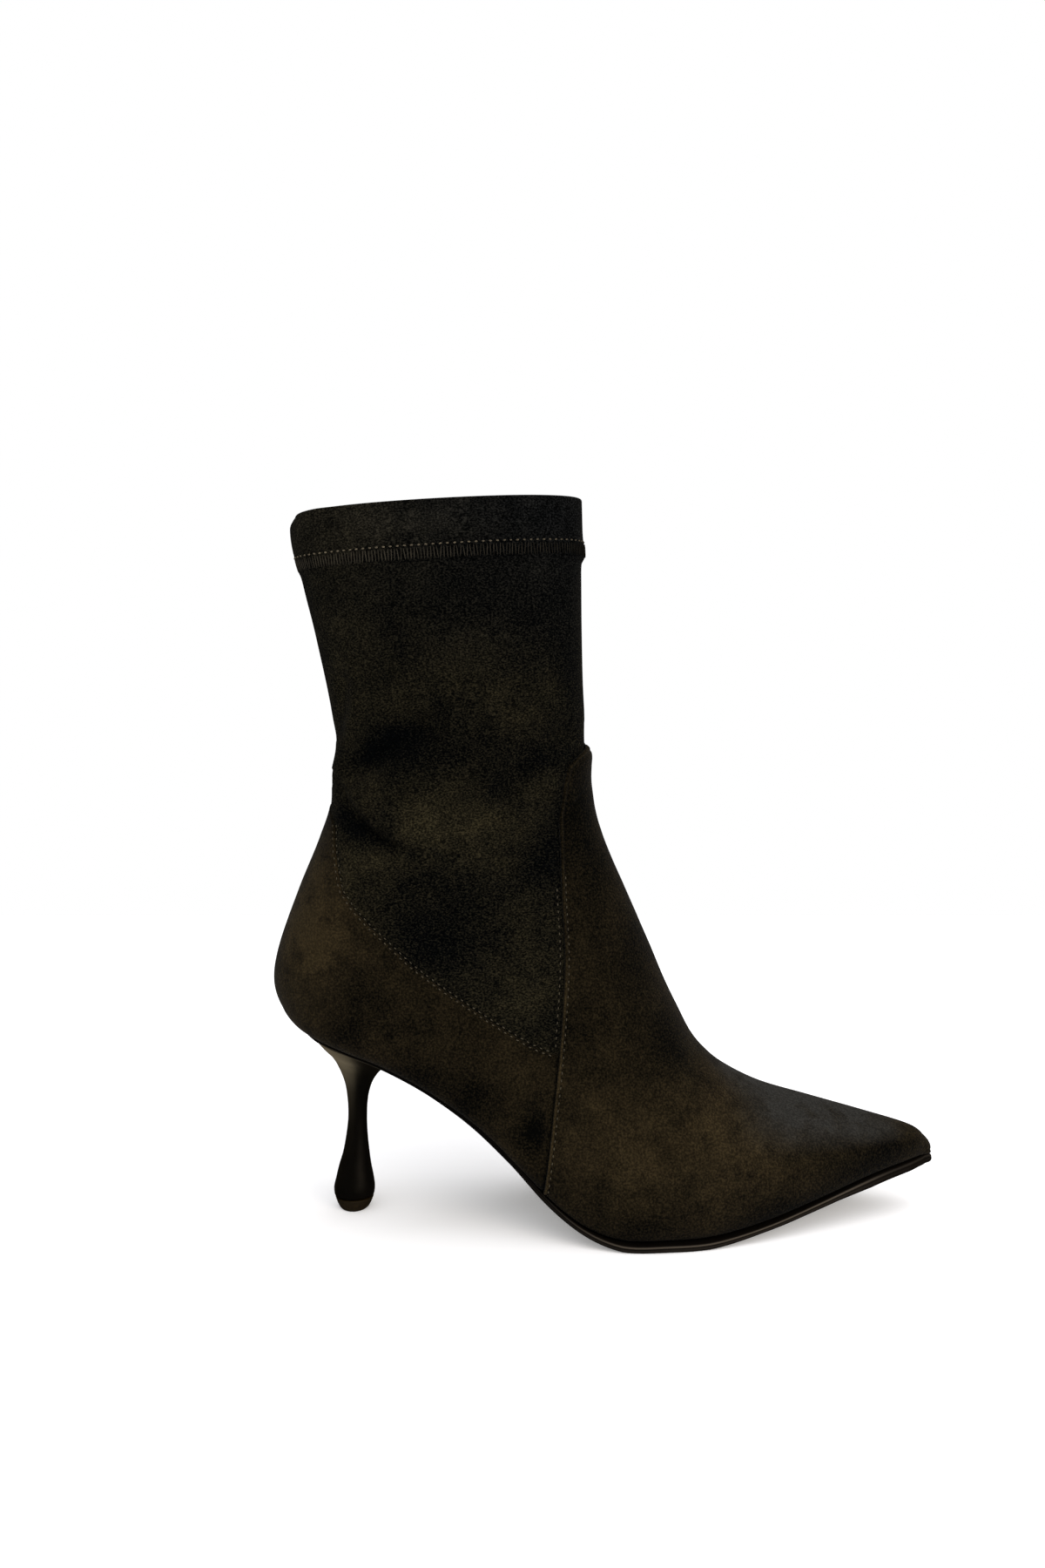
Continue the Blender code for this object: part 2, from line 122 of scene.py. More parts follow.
def cleanFaces(rings):
    # corners that were merged drop out
    faces = (tuple(dict.fromkeys(int(i) for i in ring)) for ring in rings)
    return [face for face in faces if len(face) > 2]


def quads(index):
    # faces of a grid of vertex numbers
    return cleanFaces(corners for here, after in zip(index.tolist(), index[1:].tolist())
                      for corners in zip(here, here[1:], after[1:], after))


def endStrips(ring, flip):
    # fills an open end with strips between opposite corners
    strips = [(ring[j + 1], ring[j], ring[-1 - j], ring[-2 - j]) for j in range(len(ring) // 2)]
    return cleanFaces(strip[::-1] if flip else strip for strip in strips)


def loft(rings):
    # closed faces through rings of equal count, with both ends filled
    index = np.arange(rings.shape[0] * rings.shape[1]).reshape(rings.shape[:2])
    index = np.concatenate([index, index[:, :1]], axis=1)
    sides = [(a, b, c, d) for here, after in zip(index, index[1:])
             for a, b, c, d in zip(here, here[1:], after[1:], after)]
    return cleanFaces(sides) + endStrips(index[0], False) + endStrips(index[-1], True)


def makePiece(name, points, faces, materials, slots=None, values=None):
    kept = np.unique([i for face in faces for i in face])    # corners that were merged leave spare points
    renumber = np.zeros(len(points), int)
    renumber[kept] = np.arange(len(kept))
    renumber = renumber.tolist()
    faces = [tuple(renumber[i] for i in face) for face in faces]
    mesh = bpy.data.meshes.new(name)
    mesh.from_pydata(((np.asarray(points)[kept] - boxMiddle) * mm).tolist(), [], faces)
    mesh.validate()
    for material in materials:
        mesh.materials.append(material)
    if slots is not None:
        mesh.polygons.foreach_set("material_index", np.asarray(slots, np.int32))
    for key, numbers in (values or {}).items():
        layer = mesh.attributes.new(key, "FLOAT", "POINT")
        layer.data.foreach_set("value", np.asarray(numbers, np.float32).ravel()[kept])
    mesh.shade_smooth()
    print("piece", name, len(mesh.polygons), "faces")
    return addObject(name, mesh)


# the last: slices that fan from upright at the toe to level at the collar

last = {
    "wall": 1.6,          # stretch suede bonded to its lining
    "gap": 0.3, "panel": 0.9,
    "crownShare": 0.6,    # part of a half slice above its widest level
    "featherMost": 0.92,  # of the half width
    "probe": (0.03, 0.006),    # steps for a normal, in rows and in shares
    "middleY": 2.0, "sideFade": (-2.0, 14.0),    # the leg's middle plane, and where a side's own marks begin
    "columns": ("xTop", "zTop", "xBottom", "zBottom", "yMid", "outer", "inner",
                "featherOuter", "featherInner", "belly", "crown", "tuck"),
    "slices": [
        (124.0, 21.7, 123.3, 20.7, 5.0, 0.7, 0.7, 0.5, 0.5, 0.60, 2.0, 2.2),    # toe tip
        (122.9, 25.0, 121.2, 20.4, 5.0, 2.9, 2.7, 2.2, 2.0, 0.60, 2.0, 2.4),
        (117.8, 28.9, 115.7, 19.8, 4.9, 6.8, 6.0, 5.4, 4.6, 0.62, 2.0, 2.5),
        (100.7, 34.2, 99.2, 17.2, 4.2, 14.8, 12.6, 12.2, 10.0, 0.68, 1.9, 2.6),    # toe box
        (79.7, 40.2, 77.7, 11.9, 3.0, 23.4, 21.6, 19.8, 18.0, 0.74, 1.9, 2.6),
        (60.3, 46.0, 56.8, 7.2, 1.7, 30.6, 30.0, 26.6, 26.0, 0.78, 1.9, 2.6),
        (46.1, 53.2, 37.0, 4.3, 0.6, 36.0, 36.2, 31.6, 31.8, 0.80, 1.9, 2.6),
        (38.1, 59.7, 20.0, 4.1, 0.0, 38.6, 37.8, 34.0, 33.0, 0.81, 1.9, 2.6),    # ball
        (32.4, 66.7, 5.1, 4.2, 0.0, 38.6, 36.2, 34.2, 30.0, 0.80, 1.9, 2.6),
        (27.4, 76.3, -7.5, 8.0, 0.2, 37.0, 34.2, 32.8, 25.6, 0.78, 1.9, 2.7),
        (22.1, 87.3, -19.2, 16.0, 0.6, 35.0, 32.6, 30.9, 21.8, 0.75, 1.9, 2.8),    # waist
        (16.7, 100.3, -32.7, 29.1, 1.0, 32.8, 31.4, 28.2, 19.2, 0.72, 1.9, 2.9),
        (10.8, 113.5, -47.8, 42.0, 1.4, 31.2, 30.4, 25.8, 18.6, 0.69, 1.95, 3.0),
        (6.2, 123.8, -64.4, 52.9, 1.7, 30.0, 29.6, 24.4, 20.2, 0.66, 2.0, 3.0),
        (3.0, 130.6, -80.5, 61.0, 2.0, 29.4, 29.2, 23.2, 21.4, 0.63, 2.0, 3.0),    # heel seat
        (0.5, 136.1, -94.6, 66.0, 2.0, 29.0, 28.9, 21.2, 20.8, 0.60, 2.0, 2.9),
        (-1.1, 139.9, -105.1, 69.5, 2.0, 28.7, 28.7, 17.4, 17.2, 0.58, 2.0, 2.7),
        (-2.3, 143.2, -113.0, 72.7, 2.0, 28.5, 28.5, 11.0, 11.0, 0.56, 2.0, 2.5),
        (-3.5, 146.8, -120.2, 78.2, 2.0, 28.2, 28.2, 0.0, 0.0, 0.55, 2.0, 2.3),
        (-4.4, 150.9, -123.8, 87.2, 2.0, 28.0, 28.0, 0.0, 0.0, 0.54, 2.0, 2.2),
        (-5.2, 157.0, -121.8, 100.6, 2.0, 27.7, 27.7, 0.0, 0.0, 0.53, 2.0, 2.2),    # counter
        (-6.2, 165.0, -114.4, 121.6, 2.0, 27.2, 27.2, 0.0, 0.0, 0.52, 2.0, 2.1),
        (-6.8, 175.0, -105.0, 145.8, 2.0, 26.4, 26.4, 0.0, 0.0, 0.51, 2.1, 2.1),
        (-7.2, 188.0, -102.2, 167.0, 2.0, 25.9, 25.9, 0.0, 0.0, 0.50, 2.1, 2.1),    # ankle
        (-7.8, 202.0, -103.0, 187.0, 2.0, 25.9, 25.9, 0.0, 0.0, 0.50, 2.1, 2.1),
        (-8.2, 222.0, -109.2, 217.0, 2.0, 26.8, 26.8, 0.0, 0.0, 0.50, 2.1, 2.1),
        (-8.4, 244.0, -115.0, 241.2, 2.0, 27.6, 27.6, 0.0, 0.0, 0.50, 2.1, 2.1),    # hem
        (-9.0, 269.4, -117.2, 263.0, 2.0, 27.8, 27.8, 0.0, 0.0, 0.50, 2.1, 2.1),    # collar
    ],
}
cover = last["gap"] + last["panel"]
sliceTable = np.array(last["slices"])
lastRow = len(sliceTable) - 1.0
tableEnds = np.vstack([2 * sliceTable[0] - sliceTable[1], sliceTable, 2 * sliceTable[-1] - sliceTable[-2]])


def sliceAt(u):
    u = np.asarray(u, float)
    i = np.clip(np.floor(u).astype(int), 0, len(sliceTable) - 2)
    value = throughPoints(*(tableEnds[i + k] for k in range(4)), (u - i)[..., None])
    return dict(zip(last["columns"], np.moveaxis(value, -1, 0)))


def downShare(row, t):
    crownAngle = 0.5 * math.pi * np.minimum(t / last["crownShare"], 1.0)
    tuckAngle = 0.5 * math.pi * smoothStep(last["crownShare"], 1.0, t)
    onCrown = t <= last["crownShare"]
    above = row["belly"] * (1 - np.maximum(np.cos(crownAngle), 0.0) ** (2 / row["crown"]))
    below = row["belly"] + (1 - row["belly"]) * np.sin(tuckAngle) ** (2 / row["tuck"])
    return np.where(onCrown, above, below), crownAngle, tuckAngle, onCrown


def lastPoint(u, v, inset=0.0):
    # v runs from -1 (outer edge underneath) over the top at 0 to +1 (inner edge underneath)
    u, v = np.broadcast_arrays(np.asarray(u, float), np.asarray(v, float))
    row = sliceAt(u)
    outerSide = v < 0
    down, crownAngle, tuckAngle, onCrown = downShare(row, np.abs(v))
    width = np.where(outerSide, row["outer"], row["inner"]) - inset
    feather = np.where(outerSide, row["featherOuter"], row["featherInner"])
    feather = np.minimum(np.maximum(feather, 0.0), last["featherMost"] * width)
    crownOut = width * np.sin(crownAngle) ** (2 / row["crown"])
    tuckOut = feather + (width - feather) * np.maximum(np.cos(tuckAngle), 0.0) ** (2 / row["tuck"])
    out = np.where(onCrown, crownOut, tuckOut)
    lineX = row["xBottom"] - row["xTop"]
    lineZ = row["zBottom"] - row["zTop"]
    length = np.hypot(lineX, lineZ)
    step = (inset + (length - 2 * inset) * down) / length
    return np.stack([row["xTop"] + lineX * step, row["yMid"] + np.where(outerSide, -out, out),
                     row["zTop"] + lineZ * step], -1)


def closedAt(u):
    row = sliceAt(u)
    return np.maximum(row["featherOuter"], row["featherInner"]) <= 0.0


def lastNormal(u, v):
    u, v = np.broadcast_arrays(np.asarray(u, float), np.asarray(v, float))
    du, dv = last["probe"]
    alongU = lastPoint(np.minimum(u + du, lastRow), v) - lastPoint(np.maximum(u - du, 0.0), v)
    alongV = lastPoint(u, np.minimum(v + dv, 1.0)) - lastPoint(u, np.maximum(v - dv, -1.0))
    normal = np.cross(alongV, alongU)
    normal[..., 1] = np.where((np.abs(v) == 1.0) & closedAt(u), 0.0, normal[..., 1])
    return unit(normal)


def lifted(points, lift, normal):
    return points + lift[..., None] * normal


def rowsBetween(start, end, step):
    # rows about one step apart at the place where the slices spread most
    u = np.linspace(start, end, max(int((end - start) * 60), 8))
    path = lastPoint(u[:, None], np.array([0.0, 0.35, 0.6, 0.8, 1.0])[None, :])
    total = travelled(stepsAlong(path, 0).max(axis=1))
    return np.interp(np.linspace(0.0, total[-1], int(total[-1] / step) + 2), total, u)


def rowRuns(start, *runs):
    # rows through several stretches, each given by its end and its spacing
    rows = []
    for end, step in runs:
        rows.append(rowsBetween(start, end, step)[:-1])
        start = end
    return np.concatenate([*rows, [start]])


def halfColumns(u, side, start, end, count, nearStart=(), nearEnd=()):
    # shares of a half slice, evenly spaced along its curve, with extra ones at given lengths from each end
    t = np.linspace(0.0, 1.0, 301)
    length = travelled(stepsAlong(lastPoint(u[:, None], side * t[None, :]), 1))
    rows = []
    for i in range(len(u)):
        low = np.interp(start[i], t, length[i])
        high = np.interp(end[i], t, length[i])
        room = max(high - low, 0.001)
        squeeze = min(1.0, 0.4 * room / max([*nearStart, *nearEnd, 0.001]))
        first = low + squeeze * np.array(nearStart)
        final = high - squeeze * np.array(nearEnd)
        middle = np.linspace(first[-1] if len(first) else low, final[0] if len(final) else high, count)
        places = np.concatenate([first[:-1], middle, final[1:]])
        rows.append(np.interp(places, length[i], t))
        rows[-1][0] = start[i]
        rows[-1][-1] = end[i]
    return np.array(rows)


def overTop(us, end, count, nearEnd=()):
    # a grid from the outer edge over the top to the inner edge
    outer, inner = (halfColumns(us, side, np.zeros_like(us), end, count, (), nearEnd) for side in (-1, 1))
    v = np.concatenate([-outer[:, ::-1], inner[:, 1:]], axis=1)
    return np.repeat(us[:, None], v.shape[1], axis=1), v


def onLast(x, z):
    # row and half-slice share of a place in the side view
    low = np.zeros_like(x)
    high = np.full_like(x, lastRow)
    for _ in range(40):
        middle = 0.5 * (low + high)
        row = sliceAt(middle)
        turn = ((row["xBottom"] - row["xTop"]) * (z - row["zTop"])
                - (row["zBottom"] - row["zTop"]) * (x - row["xTop"]))
        low = np.where(turn < 0, middle, low)
        high = np.where(turn < 0, high, middle)
    u = 0.5 * (low + high)
    row = sliceAt(u)
    length = np.hypot(row["xBottom"] - row["xTop"], row["zBottom"] - row["zTop"])
    down = np.hypot(x - row["xTop"], z - row["zTop"]) / length
    t = np.linspace(0.0, 1.0, 601)
    shares = [np.interp(down[i], downShare({key: row[key][i] for key in row}, t)[0], t)
              for i in range(len(x))]
    return u, np.array(shares)


# seams, in the side view

seams = {
    "vamp": [(-24.0, 0.0), (-22.5, 18.6), (-19.9, 42.7), (-17.3, 68.4), (-15.5, 102.0), (-16.5, 123.0),
             (-16.7, 146.0), (-15.4, 164.0), (-13.6, 169.4), (-6.8, 176.3), (0.0, 183.0)],
    "counter": [(-100.6, 156.0), (-99.4, 142.0), (-97.1, 127.0), (-94.0, 121.0), (-88.0, 114.0),
                (-80.0, 106.7), (-71.0, 98.5), (-61.0, 91.0), (-49.0, 83.0), (-36.6, 75.3),
                (-24.4, 68.8), (-19.0, 67.0)],
    "apart": 0.15,           # half the gap between the panels
    "peakRow": 22.16,        # where the tongue ends
    "counterTopRow": 22.36,
}


def vampX(z):
    return smoothCurve([p[1] for p in seams["vamp"]], [p[0] for p in seams["vamp"]], z)


def counterZ(x):
    return smoothCurve([p[0] for p in seams["counter"]], [p[1] for p in seams["counter"]], x)


def vampLine(z):
    return np.stack([vampX(z), z], -1)


def counterLine(x):
    return np.stack([x, counterZ(x)], -1)


def firstShare(u, behind):
    # share of a half slice where it first passes behind a side outline; 1 where it never does
    low = np.zeros_like(u)
    high = np.ones_like(u)
    ends = lastPoint(u, 1.0)
    for _ in range(40):
        middle = 0.5 * (low + high)
        spot = lastPoint(u, middle)
        hit = behind(spot[..., 0], spot[..., 2])
        high = np.where(hit, middle, high)
        low = np.where(hit, low, middle)
    return np.where(behind(ends[..., 0], ends[..., 2]), high, 1.0)


def vampShare(u):
    return firstShare(u, lambda x, z: x < vampX(z) + seams["apart"])


def counterShare(u):
    return firstShare(u, lambda x, z: (x < vampX(z) - seams["apart"]) & (z < counterZ(x)))


def pathDistance(points, path):
    # distance to a line in the side view, positive on its left when walked in order
    x = points[..., 0]
    z = points[..., 2]
    best = np.full(x.shape, 1e9)
    signed = np.full(x.shape, 1e9)
    for (x0, z0), (x1, z1) in zip(path[:-1], path[1:]):
        dx = x1 - x0
        dz = z1 - z0
        t = np.clip(((x - x0) * dx + (z - z0) * dz) / (dx * dx + dz * dz), 0.0, 1.0)
        away = np.hypot(x - x0 - t * dx, z - z0 - t * dz)
        cross = dx * (z - z0) - dz * (x - x0)
        closer = away < best
        best = np.where(closer, away, best)
        signed = np.where(closer, np.where(cross >= 0, away, -away), signed)
    return signed


# soft folds, and brushed patches with painted shade and light, placed on the boot's own side view

# side, depth, width, ridge, beside, ridge width, lap, path. Side -1 is the outer side, 1 the inner, 0 both.
# A ridge stands beside the trough, on the left of the path if positive. A fold with a lap is pushed over
# itself: it drops off sharply from its ridge, on the left.
folds = [
    (-1, 3.6, 6.0, 1.3, -10.0, 5.5, 0.0, [(-93, 167), (-86, 172), (-77, 178), (-66, 185)]),    # ankle hollow
    (-1, 2.8, 5.0, 1.4, 1.2, 5.5, 1.2,    # heel fold
     [(-101, 166), (-96.5, 160.6), (-91, 152.4), (-87.5, 148.4), (-83, 145.6), (-79, 143.5)]),
    (-1, 1.2, 3.2, 0.9, 4.4, 3.0, 0.0, [(-96.5, 199), (-97.5, 190), (-100, 182)]),    # pleat at the back
    (0, -1.0, 6.0, 0.0, 0.0, 1.0, 0.0, [(-112, 164.5), (-99, 164.5)]),    # slack at the back of the ankle
    (0, 0.6, 5.0, 0.0, 0.0, 1.0, 0.0, [(-112, 178), (-99, 178)]),
    (-1, 2.2, 5.0, 0.8, -8.0, 5.5, 0.0, [(-16, 180), (-27, 174), (-37, 161)]),    # instep hollow
    (-1, 1.6, 5.5, 0.6, 10.0, 6.5, 0.0, [(-38, 132), (-27, 139), (-18, 149)]),    # behind the vamp seam
    (-1, 1.5, 11.0, 0.6, 19.0, 11.0, 0.0, [(-76, 122), (-60, 112), (-42, 100)]),    # slack quarter
    (-1, 1.3, 4.0, 0.3, -8.0, 4.0, 0.0, [(-28, 46), (-26, 40), (-25, 34)]),    # waist dent
    (-1, 0.7, 7.0, 0.5, -12.0, 8.0, 0.0, [(-34, 238), (-32, 220), (-36, 200)]),    # falls down the shaft
    (-1, 0.6, 6.0, 0.5, 11.0, 7.0, 0.0, [(-88, 232), (-84, 214), (-86, 198)]),
    (1, 2.2, 5.5, 0.8, -9.0, 6.0, 0.0, [(-90, 172), (-78, 176), (-64, 184)]),    # the inner side's own folds
    (1, 2.2, 5.0, 1.3, 1.2, 5.0, 1.3, [(-101, 162), (-94, 153), (-86, 147), (-77, 143)]),
    (1, 1.6, 5.5, 0.5, -9.0, 6.0, 0.0, [(-17, 172), (-28, 164), (-40, 156)]),
    (1, 1.3, 11.0, 0.5, 18.0, 12.0, 0.0, [(-70, 122), (-54, 110), (-40, 100)]),
]

# nap brushed light (+) or dark (-), with painted shade in folds, hollows and along lower edges and painted
# light where light falls; by side: x, z, reach along x, reach along z, amount
napLightShadeMarks = {
    -1: [
        (-72, 258, 22, 7, 0.22), (-98, 254, 22, 12, 0.20), (-18, 258, 22, 9, -0.06),    # shaft
        (-24, 230, 24, 26, -0.16), (-98, 220, 10, 24, 0.18), (-54, 230, 14, 16, -0.12),
        (-44, 214, 12, 8, 0.10), (-62, 207, 14, 12, 0.10), (-9, 248, 8, 18, -0.14),
        (-10, 206, 8, 30, -0.18), (-34, 191, 14, 8, 0.16), (-46, 181, 12, 7, -0.12),
        (-79, 177, 16, 8, -0.20), (-57, 172, 18, 8, -0.16), (-93, 170, 5, 4, -0.26),    # ankle
        (-87, 172.5, 6, 4.5, -0.28), (-80, 177, 7, 5, -0.20), (-72, 182, 7, 4, -0.14),
        (-96, 178, 4, 12, 0.10), (-86, 160, 9, 6, 0.28), (-95, 152, 4, 5, -0.28),
        (-90, 145.5, 5, 4, -0.36), (-83, 141, 6, 3.5, -0.28), (-26, 173, 10, 6, -0.30),
        (-39, 162, 8, 7, -0.18), (-22, 162, 7, 7, 0.22), (-18, 149, 7, 12, -0.12),
        (-54, 147, 24, 10, 0.50), (-24, 136, 8, 12, -0.30), (-86, 130, 14, 8, 0.26),    # quarter
        (-50, 114, 26, 16, -0.22), (-66, 103, 10, 9, -0.14), (-30, 112, 9, 13, 0.18),
        (-30, 92, 10, 10, 0.26), (-84, 120, 8, 12, 0.10),
        (-26, 41, 5, 8, -0.52), (-47, 53, 8, 6, -0.24), (-30, 62, 8, 10, 0.08),    # waist
        (-66, 58, 16, 7, -0.20), (-50, 44, 12, 6, -0.18), (-26, 22, 12, 7, -0.22),
        (-111, 113, 12, 26, 0.78), (-98, 112, 9, 20, 0.28), (-101, 95, 7, 6, -0.30),    # counter
        (-92, 86, 9, 7, -0.16), (-94, 74, 11, 6, -0.22),
        (8, 36, 32, 18, 0.28), (48, 26, 30, 10, 0.18), (39, 44, 13, 8, 0.34),    # vamp
        (56, 34, 18, 6, 0.16), (10, 96, 10, 22, -0.16), (22, 66, 9, 15, -0.22),
        (-6, 150, 10, 30, -0.35), (-2, 124, 8, 14, -0.08), (12, 11, 16, 6, -0.22),
        (78, 26, 9, 5, -0.10), (54, 8, 18, 6, -0.22), (70, 12, 14, 6, -0.22), (88, 18, 12, 5, -0.20),
        (110, 25, 12, 9, -0.40), (-12, 76, 9, 8, -0.14)],
    1: [
        (-84, 176, 11, 7, -0.20), (-60, 156, 22, 12, 0.24), (-60, 112, 22, 16, -0.12),
        (14, 34, 30, 22, 0.24), (56, 28, 20, 12, 0.12), (-24, 206, 18, 24, -0.10), (-110, 104, 12, 24, 0.20),
        (-46, 58, 14, 10, -0.12), (84, 30, 12, 7, -0.12)],
}


def sideShare(points, side):
    # full on its own side, fading out over the front and back middle
    if side == 0:
        return np.ones(points.shape[:-1])
    return smoothStep(*last["sideFade"], side * (points[..., 1] - last["middleY"]))


def foldLift(points, soften=0.0):
    lift = np.zeros(points.shape[:-1])
    for side, depth, width, height, beside, ridgeWidth, lap, path in folds:
        away = pathDistance(points, path)
        trough = depth * bump(away, 0.0, width)
        ridge = height * bump(away, beside, ridgeWidth)
        if lap:
            over = smoothStep(-lap - soften, lap + soften, away)
            rise = over * ridge - (1 - over) * trough
        else:
            rise = ridge - trough
        lift += sideShare(points, side) * rise
    return lift


# brushed nap together with painted shade and painted light, from the marks above
def napLightShadeTone(points):
    x = points[..., 0]
    z = points[..., 2]
    # no patch is a plain oval
    strayX = x + 1.3 * np.sin(z / 6.1 + 1.3) + 0.9 * np.sin(x / 4.3 + z / 9.0)
    strayZ = z + 1.2 * np.sin(x / 5.7 + 0.4) + 0.8 * np.sin(z / 3.9 - x / 8.0)
    tone = np.zeros(x.shape)
    for side, marks in napLightShadeMarks.items():
        share = sideShare(points, side)
        for middleX, middleZ, reachX, reachZ, amount in marks:
            spread = ((strayX - middleX) / reachX) ** 2 + ((strayZ - middleZ) / reachZ) ** 2
            tone += share * amount * np.exp(-spread)
    return tone


# materials

def newMaterial(name):
    material = bpy.data.materials.new(name)
    material.use_nodes = True
    material.node_tree.nodes.clear()
    tree = material.node_tree
    return material, tree, addNode(tree, "ShaderNodeTexCoord").outputs["Object"]


def noise(tree, place, size, detail, roughness=0.5, distortion=0.0):
    # size in millimetres
    return addNode(tree, "ShaderNodeTexNoise", {
        "Vector": place, "Scale": 1000 / size, "Detail": detail, "Roughness": roughness,
        "Distortion": distortion}).outputs["Fac"]


def remap(tree, value, given, wanted=(0.0, 1.0)):
    return addNode(tree, "ShaderNodeMapRange", {
        "Value": value, "From Min": given[0], "From Max": given[1],
        "To Min": wanted[0], "To Max": wanted[1]}).outputs[0]


def mixColor(tree, share, *ends):
    first, second = (end if isinstance(end, bpy.types.NodeSocket) else hexColor(end) for end in ends)
    return addNode(tree, "ShaderNodeMix", {0: share, 6: first, 7: second}, data_type="RGBA").outputs[2]


def scaleColor(tree, color, factor):
    return addNode(tree, "ShaderNodeVectorMath", {0: color, "Scale": factor}, operation="SCALE").outputs[0]


def attribute(tree, name):
    return addNode(tree, "ShaderNodeAttribute", attribute_name=name).outputs["Fac"]


def raised(tree, height, strength, distance):
    # distance in millimetres
    return addNode(tree, "ShaderNodeBump", {
        "Height": height, "Strength": strength, "Distance": distance * mm}).outputs["Normal"]


def dress(material, color, roughness, shine, more=None):
    tree = material.node_tree
    shader = addNode(tree, "ShaderNodeBsdfPrincipled", {
        "Base Color": color, "Roughness": roughness, "Specular IOR Level": shine, **(more or {})})
    addNode(tree, "ShaderNodeOutputMaterial", {"Surface": shader.outputs[0]})
    return material


def suede(name, look):
    # Micro-suede, a brushed knit of very fine fibres: no gloss, cloudy patches where the nap lies
    # another way, a pale bloom at grazing angles, a sandy grain, and a cooler grey up the front of the shaft.
    material, tree, place = newMaterial(name)
    cloud = noise(tree, place, look["cloudSize"], 3.0, 0.55, 0.5)
    patch = noise(tree, place, look["patchSize"], 4.0, 0.6, 0.3)
    stretch = {0: place, 1: (1.0, 1.0, look["grainRows"])}
    rows = addNode(tree, "ShaderNodeVectorMath", stretch, operation="MULTIPLY").outputs[0]
    grain = noise(tree, rows, look["grainSize"], 1.0)
    uneven = remap(tree, patch, (0.3, 0.7), (0.4, 1.6))
    # the attribute read here carries brushed nap together with painted shade and painted light
    tone = mathNode(tree, "MULTIPLY", attribute(tree, "napLightShade"), uneven)
    middle = -look["tone"]    # where the nap lies at its usual tone
    for layer, key in ((cloud, "cloudShare"), (patch, "patchShare"), (grain, "grainTone")):
        tone = mathNode(tree, "MULTIPLY_ADD", layer, look[key], tone)
        middle += 0.5 * look[key]
    tone = remap(tree, tone, (middle, middle + 1.0))
    where = addNode(tree, "ShaderNodeSeparateXYZ", {0: place}).outputs
    high = remap(tree, where[2], look["coolZ"])
    ahead = remap(tree, where[0], look["coolX"], (0.3, 1.0))
    light = mixColor(tree, mathNode(tree, "MULTIPLY", high, ahead), look["light"], look["highLight"])
    color = mixColor(tree, tone, look["dark"], light)
    # painted sheen where the vamp marks it: the colour is mixed toward a pale grey
    paintedSheenShare = mathNode(tree, "MULTIPLY", attribute(tree, "paintedSheen"), uneven, clamp=True)
    color = mixColor(tree, paintedSheenShare, color, look["paintedSheen"])
    share = look["grainShare"]
    sandy = remap(tree, grain, (0.38, 0.7), (1 - 0.65 * share, 1 + 1.25 * share))
    return dress(material, scaleColor(tree, color, sandy), 0.95, 0.03, {
        "Sheen Weight": look["sheen"], "Sheen Roughness": 0.45, "Sheen Tint": hexColor(look["bloom"]),
        "Normal": raised(tree, grain, look["grainBump"], 0.5 * look["grainSize"])})


# The real fibre grain is about 0.2 mm; it is drawn at about 0.7 mm, so that it shows in the picture.
stretchSuede = suede("stretch micro-suede", {
    "cloudSize": 30.0, "patchSize": 9.0, "grainSize": 0.75, "cloudShare": 0.5, "patchShare": 0.6,
    "grainShare": 0.75, "grainTone": 1.05, "grainRows": 1.4, "grainBump": 1.0, "tone": 0.27,
    "dark": "#020304", "light": "#252115", "highLight": "#20201f", "paintedSheen": "#272623",
    "coolZ": (0.2, 0.26), "coolX": (-0.1, -0.02), "sheen": 0.03, "bloom": "#b8b2a8"})
panelSuede = suede("panel micro-suede", {
    "cloudSize": 24.0, "patchSize": 8.0, "grainSize": 0.7, "cloudShare": 0.45, "patchShare": 0.65,
    "grainShare": 0.35, "grainTone": 0.7, "grainRows": 1.0, "grainBump": 0.8, "tone": 0.30,
    "dark": "#030302", "light": "#2d2516", "highLight": "#2d2516", "paintedSheen": "#272623",
    "coolZ": (0.2, 0.26), "coolX": (-0.1, -0.02), "sheen": 0.06, "bloom": "#bab8b4"})


def thread(name, twist, dark, light, frontShade):
    # Spun polyester thread: a soft satin shine on each stitch, a little paler than the suede round it.
    material, tree, place = newMaterial(name)
    color = mixColor(tree, noise(tree, place, twist, 1.0), dark, light)
    forward = addNode(tree, "ShaderNodeSeparateXYZ", {0: place}).outputs[0]
    paintedFrontShade = remap(tree, forward, (-0.08, 0.0), (1.0, frontShade))
    return dress(material, scaleColor(tree, color, paintedFrontShade), 0.6, 0.12)


# towards the front of the boot the hem's thread is darkened: painted shade
# the seam thread's pale colours are a painted glint on each stitch's crown
glintSeamThread = thread("spun polyester thread with painted glint", 0.5, "#2c2822", "#57503f", 1.0)
# near black: the thread's own dark colour with painted shade where it dips into the stitch holes
holeShadeThread = thread("thread in painted hole shade", 0.6, "#020202", "#0b0907", 1.0)
hemThread = thread("woolly nylon hem thread", 2.2, "#020202", "#4c463a", 0.15)
needleThread = thread("needle thread", 1.2, "#38332a", "#7d725d", 0.5)


def lining(name, look):
    # Brushed tricot lining: matt, fine ribs along the leg, a soft grey-brown.
    material, tree, place = newMaterial(name)
    rib = addNode(tree, "ShaderNodeTexWave", {
        "Vector": place, "Scale": 100 * math.pi / look["rib"], "Distortion": 0.6, "Detail": 1.0},
        bands_direction="X").outputs["Fac"]
    tone = mathNode(tree, "MULTIPLY_ADD", rib, look["ribShare"], noise(tree, place, look["fuzz"], 3.0))
    return dress(material, mixColor(tree, tone, look["dark"], look["light"]), 0.9, 0.2, {
        "Sheen Weight": 0.15, "Normal": raised(tree, tone, 0.3, 0.2)})


# Ribs of 1.8 mm stand for the real 0.5 mm ones, which are too fine to show.
legLining = lining("brushed tricot lining", {
    "rib": 1.8, "ribShare": 0.35, "fuzz": 2.5, "dark": "#1c1a18", "light": "#35312c"})


